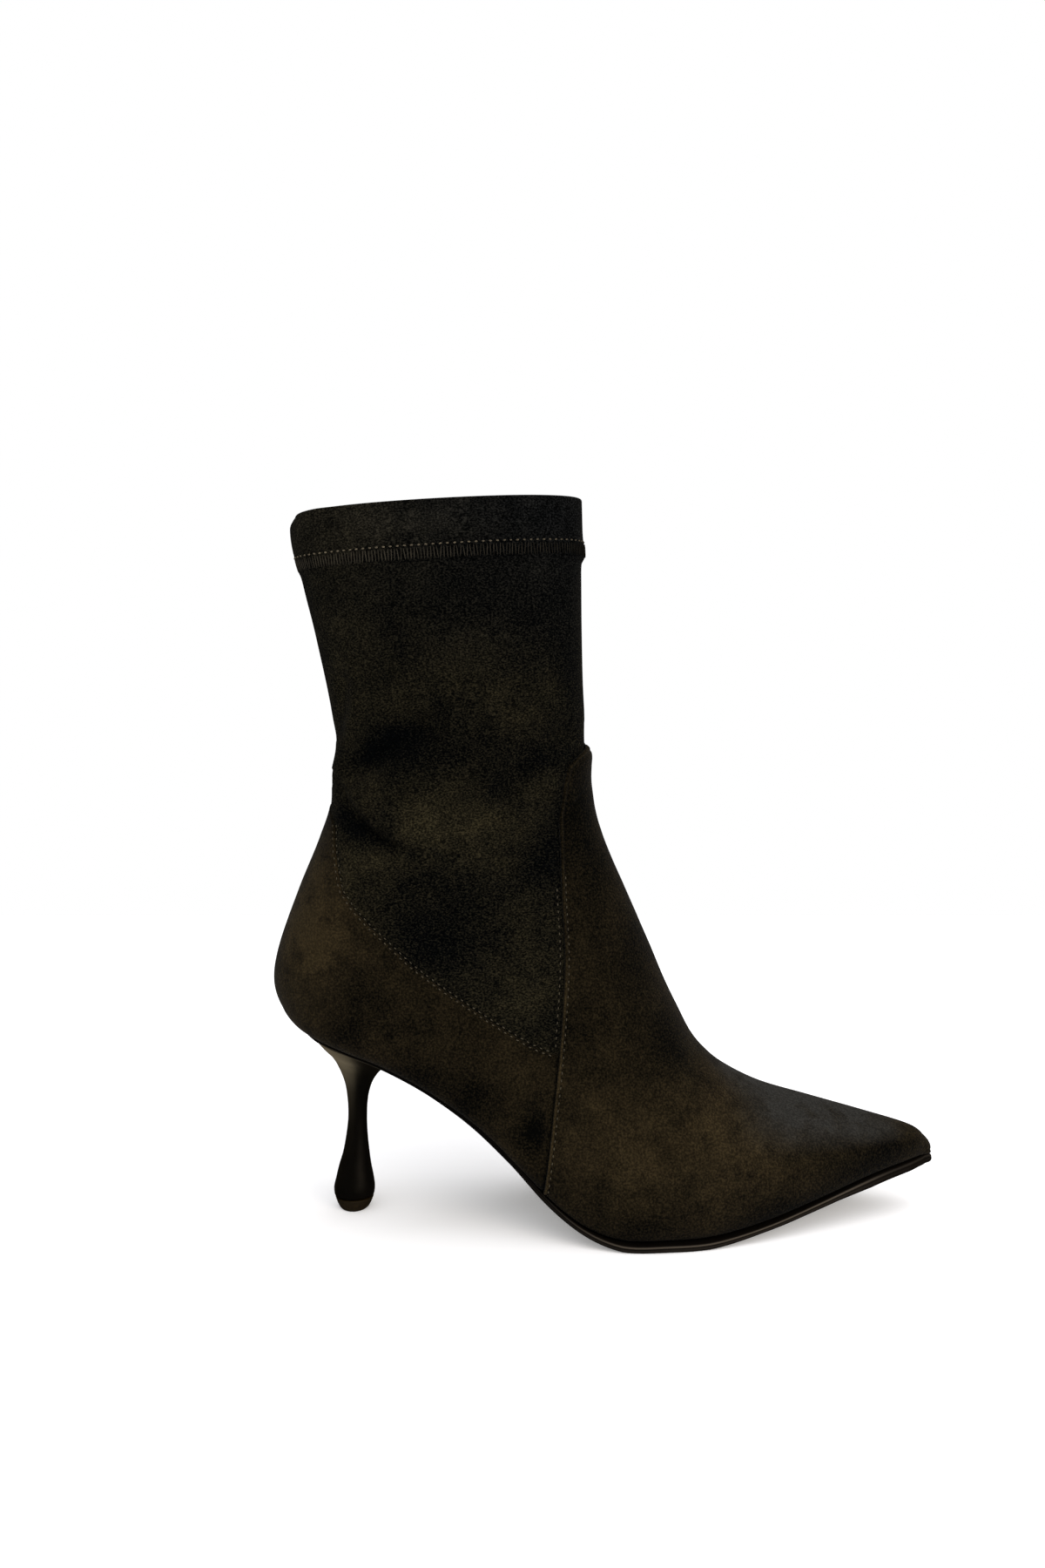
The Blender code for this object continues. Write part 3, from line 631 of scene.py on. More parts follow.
def leather(name, look):
    # Dressed leather: fine pebbled grain with a low, uneven polish.
    material, tree, place = newMaterial(name)
    pebble = addNode(tree, "ShaderNodeTexVoronoi", {"Vector": place, "Scale": 1000 / look["pebble"]},
                     feature="SMOOTH_F1").outputs["Distance"]
    scuff = noise(tree, place, look["scuff"], 5.0, 0.65)
    ground = mixColor(tree, scuff, look["dark"], look["light"])
    # the rim attribute lays on the look's rim colour: a painted highlight along the sole's edge
    color = mixColor(tree, attribute(tree, "rim"), ground, look["rim"])
    return dress(material, color, remap(tree, scuff, (0.0, 1.0), look["gloss"]), look["shine"], {
        "Normal": raised(tree, pebble, look["bump"], 0.15)})


# The edge is inked and burnished, with a painted highlight in a pale colour along its rim; the tread is plain
# oak-tanned leather, sealed.
soleEdge = leather("burnished leather edge", {
    "pebble": 1.2, "scuff": 5.0, "dark": "#090705", "light": "#130f0b", "rim": "#4e463b",
    "gloss": (0.4, 0.55), "shine": 0.12, "bump": 0.1})
soleTread = leather("sealed sole leather", {
    "pebble": 1.4, "scuff": 9.0, "dark": "#14110f", "light": "#241f1b", "rim": "#241f1b",
    "gloss": (0.42, 0.62), "shine": 0.3, "bump": 0.25})
sockLeather = leather("sock lining leather", {
    "pebble": 1.1, "scuff": 12.0, "dark": "#2a2521", "light": "#3d3630", "rim": "#1f1b18",
    "gloss": (0.5, 0.68), "shine": 0.4, "bump": 0.3})


def lacquer(name, look):
    # Lacquered ABS: a deep black gloss with the slow waviness of a sprayed finish.
    material, tree, place = newMaterial(name)
    wave = noise(tree, place, look["wave"], 1.0)
    dust = noise(tree, place, look["dust"], 4.0)
    color = mixColor(tree, dust, look["dark"], look["light"])
    return dress(material, color, remap(tree, dust, (0.0, 1.0), look["gloss"]), look["shine"], {
        "IOR": 1.5, "Normal": raised(tree, wave, 0.05, 0.3)})


heelLacquer = lacquer("black lacquered ABS", {
    "wave": 6.0, "dust": 3.0, "gloss": (0.4, 0.48), "shine": 0.3, "dark": "#040302", "light": "#090704"})


def rubber(name, look):
    # Hard polyurethane top piece: dull black with a faint moulded grain.
    material, tree, place = newMaterial(name)
    grit = noise(tree, place, look["grit"], 3.0)
    return dress(material, mixColor(tree, grit, look["dark"], look["light"]), 0.5, 0.2, {
        "Normal": raised(tree, grit, 0.2, 0.1)})


liftRubber = rubber("hard polyurethane", {"grit": 1.2, "dark": "#0d0a04", "light": "#2c210d"})
print("materials ready")


# the stretch upper with its turned hem

upper = {
    "finest": 1.1, "fine": 1.6, "coarse": 4.0,    # rows at the folds, where it shows, under the vamp
    "shownRow": 9.4, "foldRows": (18.6, 24.2), "halfColumns": 92, "liningSkip": 2,
    "hemRow": 26.0,          # rows below are counted from this one
    "hemEdge": (-0.07, 0.05), "hemEdgeRows": (-0.04, -0.025, -0.012, 0.0, 0.012, 0.025, 0.04),
    "hemBorder": (-0.06, 0.07), "rimRow": 0.05,
    "hemStep": 0.3, "hemFront": 0.55, "hemFrontX": (-60.0, -12.0),
    "hemBulge": 0.7, "bulgeRows": (0.12, 0.16), "hemShade": 0.18, "shadeRows": (0.13, 0.11),
    "turnedRow": 0.15,      # above it the inside is suede too
    "hemTilt": 0.1, "hemTiltX": (-104.0, -14.0), "tiltRows": (-0.8, -0.1, 0.45, 0.95),    # up to the front
    "shaftFront": 0.3, "shaftX": (-22.0, -9.0), "shaftZ": (178.0, 190.0),
    "flare": 2.1, "flareX": (-114.0, -98.0), "flareZ": (236.0, 256.0), "collarRise": 0.7, "collarRow": 0.4,
    "seamRise": 0.7, "riseReach": 5.0, "riseEdge": (-0.2, 0.4),    # the fabric climbs to the panels at a seam
    "vampRiseZ": (60.0, 72.0, 156.0, 168.0), "counterRiseZ": (146.0, 156.0), "counterX": (-100.4, -19.0, 90),
    "stitchDip": 0.22, "vampDip": (1.5, 0.7), "counterDip": (0.7, 0.6),
    "toeInside": 2.0, "toeJoin": 4.0, "liningFolds": (9.0, 11.0), "liningSoft": 2.4,
    "curlIn": 2.8, "curlDrop": 1.2, "curlReach": 5.0, "curlWidth": 12.0,
    "curlX": (-112.0, -104.0),
    "rimSteps": 6, "rimTip": (-0.059, 0.0, 0.998),
}


def hemShift(points):
    start, end = upper["hemTiltX"]
    return upper["hemTilt"] * np.clip((points[..., 0] - start) / (end - start), -0.2, 1.0)


def hemLift(u, points):
    x = points[..., 0]
    z = points[..., 2]
    row = u - hemShift(points) - upper["hemRow"]
    front = smoothStep(*upper["hemFrontX"], x)
    band = (upper["hemStep"] + upper["hemFront"] * front) * smoothStep(*upper["hemEdge"], row)
    bulge = upper["hemBulge"] * front * bump(row, *upper["bulgeRows"])
    shaft = upper["shaftFront"] * smoothStep(*upper["shaftX"], x) * smoothStep(*upper["shaftZ"], z)
    flare = upper["flare"] * (1 - smoothStep(*upper["flareX"], x)) * smoothStep(*upper["flareZ"], z)
    return band + bulge + shaft + flare


def seamRise(points):
    z = points[..., 2]
    behindVamp = vampX(z) - points[..., 0]
    aboveCounter = pathDistance(points, counterLine(np.linspace(*upper["counterX"])))
    rises = []
    for away, share, dip in ((behindVamp, plateau(*upper["vampRiseZ"], z), upper["vampDip"]),
                             (aboveCounter, 1 - smoothStep(*upper["counterRiseZ"], z), upper["counterDip"])):
        climb = upper["seamRise"] * bump(away, 0.0, upper["riseReach"])
        climb = climb - upper["stitchDip"] * bump(away, *dip)
        rises.append(smoothStep(*upper["riseEdge"], away) * share * climb)
    return np.maximum(*rises)


def upperSkin(u, v):
    points = lastPoint(u, v)
    lift = foldLift(points) + hemLift(u, points) + seamRise(points)
    return lifted(points, lift, lastNormal(u, v)), points


def collarCurl(points, collar):
    # the collar leans in at the back
    share = np.clip(1 - (collar - points[..., 2]) / upper["curlReach"], 0.0, 1.0) ** 2
    back = 1 - smoothStep(*upper["curlX"], points[..., 0])
    share = share * back * bump(points[..., 1], last["middleY"], upper["curlWidth"])
    return lifted(points, share, np.array([upper["curlIn"], 0.0, -upper["curlDrop"]]))


def buildUpper():
    hemRow = upper["hemRow"]
    below, above = upper["hemBorder"]
    foldStart, foldEnd = upper["foldRows"]
    us = np.concatenate([
        rowRuns(0.0, (upper["shownRow"], upper["coarse"]), (foldStart, upper["fine"]),
                (foldEnd, upper["finest"]), (hemRow + below, upper["fine"])),
        hemRow + np.array(upper["hemEdgeRows"]),
        rowsBetween(hemRow + above, lastRow - upper["rimRow"], upper["fine"])])
    u, v = overTop(us, np.ones_like(us), upper["halfColumns"])
    u = u + plateau(*upper["tiltRows"], u - hemRow) * hemShift(lastPoint(u, v))
    outside, base = upperSkin(u, v)
    join = upper["toeJoin"]
    hollow = np.where(u < join, upper["toeInside"] + (join - upper["toeInside"]) * u / join, u)
    lift = foldLift(base, upper["liningSoft"]) * smoothStep(*upper["liningFolds"], u) + hemLift(u, base)
    inside = lifted(lastPoint(hollow, v, last["wall"]), lift, lastNormal(hollow, v))

    # the folded top edge: a half round from the outer face over to the lining
    middle = 0.5 * (outside[-1] + inside[-1])
    reach = 0.5 * (outside[-1] - inside[-1])
    radius = np.linalg.norm(reach, axis=1, keepdims=True)
    tip = np.array(upper["rimTip"])
    angles = np.linspace(0, math.pi, upper["rimSteps"] + 2)[1:-1]
    rim = np.stack([middle + math.cos(a) * reach + math.sin(a) * radius * tip for a in angles])
    for sheet, rows in ((outside, u), (inside, u), (rim, lastRow)):
        sheet[..., 2] += upper["collarRise"] * smoothStep(hemRow + upper["collarRow"], lastRow, rows)
    collar = outside[-1, :, 2].copy()
    outside, inside, rim = (collarCurl(sheet, collar) for sheet in (outside, inside, rim))

    # the lining needs fewer rows, but matches the outside along the open edges underneath and at the rim
    back = [i for i in range(len(us) - 1, -1, -1)
            if us[i] < foldStart or i >= len(us) - 3 or i % upper["liningSkip"] == 0]
    grid = np.concatenate([outside, rim, inside[back]])
    tones = napLightShadeTone(base) - upper["hemShade"] * bump(u - hemShift(base) - hemRow, *upper["shadeRows"])
    tones = np.concatenate([tones, np.repeat(tones[-1:], len(angles), axis=0), tones[back]])
    rowOf = np.concatenate([us, np.full(len(angles), lastRow), us[back]])
    index = np.arange(grid[..., 0].size).reshape(grid.shape[:2])
    closed = closedAt(rowOf)
    index[closed, -1] = index[closed, 0]
    openRows = int((~closed[:len(us)]).sum())
    walls = [(index[0, -1], index[0, 0], index[-1, 0], index[-1, -1])]    # along the edges underneath
    for edge, turn in ((index[:, 0], 1), (index[:, -1], -1)):
        walls += [(edge[i], edge[i + 1], edge[-2 - i], edge[-1 - i])[::turn] for i in range(openRows)]
    faces = quads(index) + endStrips(index[0], False) + endStrips(index[-1], True) + cleanFaces(walls)
    firstLining = len(us) + len(angles)
    slotOfRow = (np.arange(len(index)) >= firstLining) & (rowOf < hemRow + upper["turnedRow"])
    slots = [int(slotOfRow[max(face) // v.shape[1]]) for face in faces]
    return makePiece("upperSock", grid.reshape(-1, 3), faces, [stretchSuede, legLining], slots,
                     {"napLightShade": tones})


upperPiece = buildUpper()


# the vamp and counter panels

panels = {
    "row": 1.15, "vampColumns": 52, "counterColumns": 56,
    "edgeSteps": (0.0, 0.06, 0.18, 0.36, 0.6, 0.9, 1.3, 1.8, 2.3, 2.9),
    "lapRows": (10.1, 11.2, 0.5), "tipRows": (0.4, 0.45),    # closer rows at the lap and at the tongue's tip
    "vampZ": (0.0, 181.0, 150), "lapZ": (0.0, 68.0, 60), "counterX": (-100.5, -19.0, 110),    # seams
    "round": 0.8,                    # radius of the folded edge
    "bead": 0.36, "beadAt": 0.7, "beadReach": 0.5, "counterBead": 0.12,    # the fold is a thin ridge,
    "plainZ": (150.0, 166.0),        # over which the ridge dies out up the tongue
    "edgeTone": 0.4, "edgeReach": 0.4, "highTone": 0.5, "lowTone": 1.3, "tipTone": 0.4,    # a painted highlight along the edge,
    "lowZ": (56.0, 110.0), "tipZ": (164.0, 171.0),    # most low down, a little at the tongue's tip
    "dip": 0.24, "dipReach": 0.55, "vampStitch": 1.6, "counterStitch": 0.6,
    "tongue": [  # height up the front, stand-off from the shaft
        (112.0, 0.1), (128.0, 0.25), (141.0, 0.65), (148.0, 0.75), (155.0, 0.5), (163.0, 0.65), (168.0, 1.2),
        (172.0, 1.6), (174.5, 1.2), (178.0, 0.5)],
    "tongueX": (-16.5, -7.5), "tongueZ": (104.0, 112.0), "tipFrom": 166.0, "least": 0.012,
    "tipRound": 4.0, "tipFill": (2.0, 5.0),    # the tip rounds in to the shaft and is solid
    "toePush": (1.2, 0.0, -0.2), "toeRows": (0.2, 1.3), "toeFoot": 0.7,    # the nose is full, most
    "toeFootShare": (0.35, 0.8),    # just over the sole
    "paintedSheenX": (32.0, 62.0, 98.0, 118.0), "paintedSheenFacing": (0.35, 0.85),    # a painted sheen greys the upward-facing toe,
    "paintedSheenStray": 7.0, "paintedSheenWave": 8.0,    # from a wavy line on
    "footRows": (9.6, 12.5, 0.4), "footShare": 0.985, "heelRow": 13.0, "heelStep": 0.6,    # counter's foot
    "archRow": 21.9, "archEnd": 0.985, "archStep": 0.5, "archZ": (138.0, 148.0),    # its top is an arch,
    "thinRows": 0.55, "thinTo": 0.3, "topTone": 0.14, "topRows": 0.4,    # thin, with painted shade under the heel fold
    "seatFull": 0.75, "seatRow": 17.75, "seatReach": 0.7, "seatShare": (0.75, 0.95),    # it rounds under
    "underRow": 17.1,                # and is closed under the seat from here up
    "lapTone": 0.25, "lapReach": 0.9,    # a painted shadow where the vamp's edge lies on it
    "foot": 0.05, "underside": 0.03,    # what the thinned edge keeps, and the counter's inside over the upper
}


def edgeProfile(away, stitchAt, bead):
    # height of a panel's face over its underside, by distance from its folded edge
    turned = np.sqrt(np.clip(1 - (1 - np.minimum(away / panels["round"], 1.0)) ** 2, 0.0, 1.0))
    ridge = bead * bump(away, panels["beadAt"], panels["beadReach"])
    return last["panel"] * turned + ridge - panels["dip"] * bump(away, stitchAt, panels["dipReach"])


def columnGap(base):
    # distance to the nearer side edge along each row, for places that the side view foreshortens
    length = travelled(stepsAlong(base, 1))
    return np.minimum(length, length[:, -1:] - length)


def closeSkins(name, faces, outside, inside, values):
    # a second skin behind the first, with walls along every open edge
    used = {edge for face in faces for edge in zip(face, face[1:] + face[:1])}
    count = outside[..., 0].size
    walls = [(b, a, count + a, count + b) for a, b in sorted(used) if (b, a) not in used]
    faces = faces + [tuple(count + i for i in reversed(face)) for face in faces] + walls
    points = np.concatenate([outside.reshape(-1, 3), inside.reshape(-1, 3)])
    # where the two skins meet in a thin edge they share their corners
    same = np.linalg.norm(points[:count] - points[count:], axis=1) < 1e-4
    corner = np.arange(2 * count)
    corner[count:][same] -= count
    faces = cleanFaces(corner[list(face)] for face in faces)
    return makePiece(name, points, faces, [panelSuede], None,
                     {key: np.concatenate([numbers, numbers]) for key, numbers in values.items()})


def vampLift(points):
    # extra stand-off of the tongue
    heights, lifts = zip(*panels["tongue"])
    z = points[..., 2]
    front = smoothStep(*panels["tongueX"], points[..., 0]) * smoothStep(*panels["tongueZ"], z)
    return front * smoothCurve(heights, lifts, np.clip(z, heights[0], heights[-1]))


def buildVamp():
    lapStart, lapEnd, lapStep = panels["lapRows"]
    tipRows, tipStep = panels["tipRows"]
    peak = seams["peakRow"]
    us = rowRuns(0.0, (lapStart, panels["row"]), (lapEnd, lapStep), (peak - tipRows, panels["row"]),
                 (peak, tipStep))
    share = np.maximum(vampShare(us), panels["least"])
    u, v = overTop(us, share, panels["vampColumns"], panels["edgeSteps"][::-1])
    base = lastPoint(u, v)
    x, y, z = np.moveaxis(base, -1, 0)
    away = np.abs(pathDistance(base, vampLine(np.linspace(*panels["vampZ"]))))
    away = np.where(z > panels["tipFrom"], np.minimum(away, columnGap(base)), away)
    fromTip = np.linalg.norm(base - base[-1:], axis=2)
    lift = foldLift(base) + vampLift(base)
    normal = lastNormal(u, v)
    plain = 1 - smoothStep(*panels["plainZ"], z)
    tip = np.sin(0.5 * math.pi * np.minimum(fromTip / panels["tipRound"], 1.0))
    stand = lift + last["gap"] + edgeProfile(away, panels["vampStitch"], panels["bead"] * plain)
    foot = 1 + panels["toeFoot"] * smoothStep(*panels["toeFootShare"], np.abs(v))
    pushed = lifted(base, foot * (1 - smoothStep(*panels["toeRows"], u)), np.array(panels["toePush"]))
    outside = lifted(pushed, stand * tip, normal)
    inside = lifted(pushed, lift * smoothStep(*panels["tipFill"], fromTip) + 0.5 * last["gap"] * tip, normal)
    # painted sheen: upward-facing nap on the toe is mixed toward a grey
    start, full, fade, end = panels["paintedSheenX"]
    wavy = x + panels["paintedSheenStray"] * np.sin(y / panels["paintedSheenWave"] + 1.0)
    paintedSheen = (smoothStep(*panels["paintedSheenFacing"], normal[..., 2]) * smoothStep(start, full, wavy)
             * (1 - smoothStep(fade, end, x)))
    # painted highlight along the folded edge, strongest low down and a little at the tongue's tip
    edgeHighlightStrength = (plain * (panels["highTone"] + panels["lowTone"] * (1 - smoothStep(*panels["lowZ"], z)))
              + panels["tipTone"] * smoothStep(*panels["tipZ"], z))
    paintedHighlight = panels["edgeTone"] * bump(away, panels["beadAt"], panels["edgeReach"]) * edgeHighlightStrength
    index = np.arange(u.size).reshape(u.shape)
    return closeSkins("vampPanel", quads(index) + endStrips(index[0], False), outside, inside,
                      {"napLightShade": napLightShadeTone(base) + paintedHighlight, "paintedSheen": paintedSheen})


vampPiece = buildVamp()


def counterEdge(u):
    arch = (u - panels["archRow"]) / (seams["counterTopRow"] - panels["archRow"])
    arch = np.clip(arch, 0.0, panels["archEnd"])
    return 1 - (1 - counterShare(u)) * np.sqrt(1 - arch ** 2)


def counterThin(u):
    top = seams["counterTopRow"]
    return 1 - (1 - panels["thinTo"]) * smoothStep(top - panels["thinRows"], top, u)


def buildCounter():
    foot = rowsBetween(*panels["footRows"])
    start = foot[np.argmax(counterShare(foot) < panels["footShare"])]
    top = seams["counterTopRow"]
    us = rowRuns(start, (panels["heelRow"], panels["heelStep"]), (panels["archRow"], panels["row"]),
                 (top, panels["archStep"]))
    share = counterEdge(us)
    columns = panels["counterColumns"]
    outer, inner = (halfColumns(us, side, share, np.ones_like(us), columns, panels["edgeSteps"])
                    for side in (-1, 1))
    # the sides are one strip where the back is closed: the outer half runs in to the back, the inner one out
    v = np.concatenate([-outer, inner[:, ::-1]], axis=1)
    u = np.repeat(us[:, None], v.shape[1], axis=1)
    base = lastPoint(u, v)
    normal = lastNormal(u, v)
    fromLap = pathDistance(base, vampLine(np.linspace(*panels["lapZ"])))
    fromSeam = pathDistance(base, counterLine(np.linspace(*panels["counterX"])))
    away = np.minimum(np.abs(fromSeam), np.abs(fromLap))
    fromTop = np.minimum(columnGap(base), np.linalg.norm(base - base[-1:], axis=2))
    arched = smoothStep(*panels["archZ"], base[..., 2])
    away = away * (1 - arched) + fromTop * arched
    lift = foldLift(base)
    under = (panels["seatFull"] * bump(u, panels["seatRow"], panels["seatReach"])
             * smoothStep(*panels["seatShare"], np.abs(v)))
    height = under + last["gap"] + edgeProfile(away, panels["counterStitch"], panels["counterBead"])
    height = panels["foot"] + (height - panels["foot"]) * counterThin(u)
    # painted shadow along the vamp's lapped edge and painted shade under the heel fold
    paintedShade = (panels["lapTone"] * bump(fromLap, 0.0, panels["lapReach"])
             + panels["topTone"] * smoothStep(panels["archRow"] - panels["topRows"], top, u))

    index = np.arange(u.size).reshape(u.shape)
    half = outer.shape[1]
    closed = closedAt(us)
    index[closed, half] = index[closed, half - 1]
    # the outer half runs down and back, which turns the faces over; under the seat the sides meet in one end
    faces = [face[::-1] for face in quads(index[:, :half]) + quads(index[:, half:])]
    faces += cleanFaces((index[r, half], index[r, half - 1], index[r + 1, half - 1], index[r + 1, half])
                        for r in np.flatnonzero((us[:-1] > panels["underRow"]) & ~closed[:-1]))
    return closeSkins("counterPanel", faces, lifted(base, lift + height, normal),
                      lifted(base, lift + panels["underside"], normal), {"napLightShade": napLightShadeTone(base) - paintedShade})


counterPiece = buildCounter()


# the sole, the sock, the heel and its top piece

sole = {
    "stations": [  # x, edge beyond the opening underneath, thickness, extra drop
        (-118.0, -1.2, 0.3, 0.0), (-113.0, -1.2, 0.4, 0.0), (-106.0, -1.2, 1.8, 0.0), (-64.0, -1.2, 1.8, 0.0),
        (-32.0, 0.2, 2.0, 0.0), (-12.0, 2.8, 2.0, 0.0), (5.0, 5.2, 2.5, 0.0), (36.0, 5.6, 2.6, 0.0),
        (54.0, 5.2, 2.1, 0.0), (70.0, 4.6, 2.3, 0.0), (84.0, 4.0, 2.6, 0.0), (98.0, 3.4, 3.5, 0.1),
        (116.0, 2.4, 3.5, 0.15), (124.0, 1.6, 3.4, 0.15)],
    "nose": 2.8, "noseRings": [(1.0, 0.3, 0.4), (0.93, 0.5, 0.7), (0.75, 0.72, 0.9), (0.45, 0.88, 1.0)],
    "rows": (0.12, 17.82), "step": 1.6, "probe": 0.05, "least": 0.8, "floorGap": 0.25,
    "plug": (17.0, 17.6, 0.7),    # rows over which the end rises to close the seat's back, and by what share
    "rimHighlightX": (-24.0, 6.0), "rimHighlightFadeX": (84.0, 112.0), "rimHighlightFade": 0.8,    # the rim carries a painted highlight, then less
    "pull": (0.88, 0.6),          # the profile is drawn in less where the sole is narrow
    "profile": [  # in from the edge, share of the thickness, painted highlight on the rim
        (6.0, 0.0, 0.0), (1.2, 0.0, 0.0), (0.35, 0.0, 0.0), (0.08, 0.06, 0.2), (0.0, 0.14, 0.9),
        (0.0, 0.24, 0.6), (0.05, 0.34, 0.1), (0.25, 0.42, 0.0), (0.25, 0.48, 0.0), (0.05, 0.55, 0.05),
        (0.0, 0.66, 0.1), (0.06, 0.78, 0.05), (0.3, 0.91, 0.0), (0.8, 1.0, 0.0), (6.0, 1.0, 0.0)],
}


def bottomLine(u):
    u = np.asarray(u, float)
    row = sliceAt(u)
    before = sliceAt(np.maximum(u - sole["probe"], 0.0))
    after = sliceAt(u + sole["probe"])
    dx, dz = (before[key] - after[key] for key in ("xBottom", "zBottom"))
    ahead = unit(np.stack([dx, 0 * u, dz], -1))
    up = np.stack([-ahead[..., 2], 0 * u, ahead[..., 0]], -1)
    return np.stack([row["xBottom"], 0 * u, row["zBottom"]], -1), up, ahead, row


def soleRing(u, reach=0.0, narrow=1.0, slim=1.0):
    point, up, ahead, row = bottomLine(u)
    xs, *columns = zip(*sole["stations"])
    overhang, thickness, drop = (np.interp(point[0], xs, column) for column in columns)
    start, end, share = sole["plug"]
    sink = (cover + last["gap"]) * (1 - share * smoothStep(start, end, u)) + drop
    face = point - sink * up + reach * ahead
    # painted highlight along the rim, strongest from the waist to the ball
    paintedHighlight = smoothStep(*sole["rimHighlightX"], point[0]) * (1 - sole["rimHighlightFade"] * smoothStep(*sole["rimHighlightFadeX"], point[0]))
    most, soft = sole["pull"]
    ring = []
    rimHighlight = []
    for side, feather, order in ((1, "featherInner", 1), (-1, "featherOuter", -1)):
        width = max((max(row[feather], 0.0) + overhang) * narrow, sole["least"])
        for inward, depth, rim in sole["profile"][::order]:
            spot = face - (0.5 + (depth - 0.5) * slim) * thickness * up
            pull = min(inward, most * width * inward / (inward + soft))
            z = max(spot[2], sole["floorGap"] * (1 - depth))
            ring.append([spot[0], row["yMid"] + side * (width - pull), z])
            rimHighlight.append(rim * paintedHighlight)
    return ring, rimHighlight


def buildSole():
    made = [soleRing(0.0, sole["nose"] * reach, narrow, slim) for reach, narrow, slim in sole["noseRings"]]
    made += [soleRing(u) for u in rowsBetween(*sole["rows"], sole["step"])]
    rings, rimHighlight = (np.array(part) for part in zip(*made))
    faces = loft(rings)
    count = rings.shape[1]
    tread = len(sole["profile"]) - 2
    slots = [int(all(tread <= i % count <= count - 1 - tread for i in face)) for face in faces]
    piece = makePiece("soleLeather", rings.reshape(-1, 3), faces, [soleEdge, soleTread], slots, {"rim": rimHighlight})
    under = sorted((ring[tread][0], ring[tread][2]) for ring in rings)
    return piece, np.array(under)


solePiece, soleUnder = buildSole()

sock = {"rows": (2.8, 17.2), "thick": 1.8, "spread": 0.4, "flare": 0.5, "step": 2.4, "round": 0.5,
        "across": 9, "clear": 0.1, "widest": 0.9, "roundFrom": 0.75}


def buildSock():
    rings = []
    for u in rowsBetween(*sock["rows"], sock["step"]):
        point, up, _, row = bottomLine(u)
        under = point + (last["wall"] + last["gap"] + sock["clear"]) * up
        spans = []
        for spread in (sock["spread"], sock["spread"] + sock["flare"]):
            outer, inner = (
                min(row[feather] + spread, sock["widest"] * (row[width] - last["wall"]) - last["gap"])
                for feather, width in (("featherOuter", "outer"), ("featherInner", "inner")))
            spans.append((row["yMid"] - outer, row["yMid"] + inner))
        ring = [[under[0], y, under[2]] for y in np.linspace(*spans[0], sock["across"])]
        left, right = spans[1]
        for s in np.linspace(1.0, -1.0, sock["across"]):
            y = 0.5 * (left + right) + 0.5 * (right - left) * math.sin(0.5 * math.pi * s)
            high = under + (sock["thick"] - sock["round"] * max(abs(s) - sock["roundFrom"], 0.0) * 2) * up
            ring.append([high[0], y, high[2]])
        rings.append(ring)
    rings = np.array(rings)[:, ::-1]
    return makePiece("sockLining", rings.reshape(-1, 3), loft(rings), [sockLeather], None,
                     {"rim": np.zeros(rings.shape[:2])})


sockPiece = buildSock()

heel = {
    "sides": 72, "between": 8,
    "rings": [  # front x, front z, back x, back z, half width
        (-87.1, 4.95, -102.2, 4.95, 7.5), (-86.9, 7.8, -102.4, 7.8, 7.65), (-87.4, 11.4, -101.6, 11.4, 6.95),
        (-88.3, 16.0, -100.5, 16.0, 5.9), (-89.0, 21.0, -99.0, 21.0, 4.8), (-89.65, 27.6, -97.8, 27.6, 3.85),
        (-89.9, 34.2, -97.1, 34.2, 3.4), (-89.55, 41.0, -97.35, 41.2, 3.8), (-88.2, 46.6, -98.5, 47.9, 5.2),
        (-86.0, 50.4, -101.0, 54.2, 8.0), (-83.2, 53.3, -103.6, 58.6, 11.4),
        (-80.6, 55.6, -107.4, 62.7, 15.0)],
    "seat": (-78.6, -112.4, 17.8),
    "footShare": 0.88, "footRise": 0.25,    # a small round where the lacquer meets the top piece
    "lift": [  # height, half length, half width
        (0.0, 4.7, 5.8), (0.15, 5.1, 6.1), (0.7, 5.7, 6.4), (2.0, 6.45, 6.7), (3.4, 7.0, 7.0),
        (4.1, 7.25, 7.2), (4.3, 7.2, 7.15), (4.4, 6.5, 6.5)],
    "liftX": -94.6,
}
heelTurn = np.linspace(0.0, 2 * math.pi, heel["sides"], endpoint=False)


def frontToBack(front, back):
    return 0.5 * (front + back) + 0.5 * (front - back) * np.cos(heelTurn)


def heelRing(x, z, side):
    return np.stack([x, last["middleY"] + side * np.sin(heelTurn), z + 0 * heelTurn], -1)


def buildHeel():
    rings = [heelRing(frontToBack(frontX, backX), frontToBack(frontZ, backZ), side)
             for frontX, frontZ, backX, backZ, side in heel["rings"]]
    front, back, side = heel["seat"]
    x = frontToBack(front, back)
    rings.append(heelRing(x, np.interp(x, soleUnder[:, 0], soleUnder[:, 1]) - last["gap"], side))
    ends = np.array([2 * rings[0] - rings[1], *rings, 2 * rings[-1] - rings[-2]])
    smooth = [throughPoints(*ends[i:i + 4], t) for i in range(len(rings) - 1)
              for t in np.linspace(0.0, 1.0, heel["between"], endpoint=False)]
    smooth = np.array([smooth[0], *smooth, rings[-1]])
    middle = smooth[0][:, :2].mean(axis=0)
    smooth[0][:, :2] = middle + (smooth[0][:, :2] - middle) * heel["footShare"]
    smooth[1][:, 2] += heel["footRise"]
    return makePiece("dropHeel", smooth.reshape(-1, 3), loft(smooth), [heelLacquer])


def buildLift():
    rings = np.array([heelRing(heel["liftX"] + along * np.cos(heelTurn), z, across)
                      for z, along, across in heel["lift"]])
    return makePiece("topPiece", rings.reshape(-1, 3), loft(rings), [liftRubber])


heelPiece = buildHeel()
liftPiece = buildLift()


# stitches: a Geometry Nodes tree lays one thread shape along each sewn line

groove = cover - panels["dip"]    # height of a stitched groove over the last


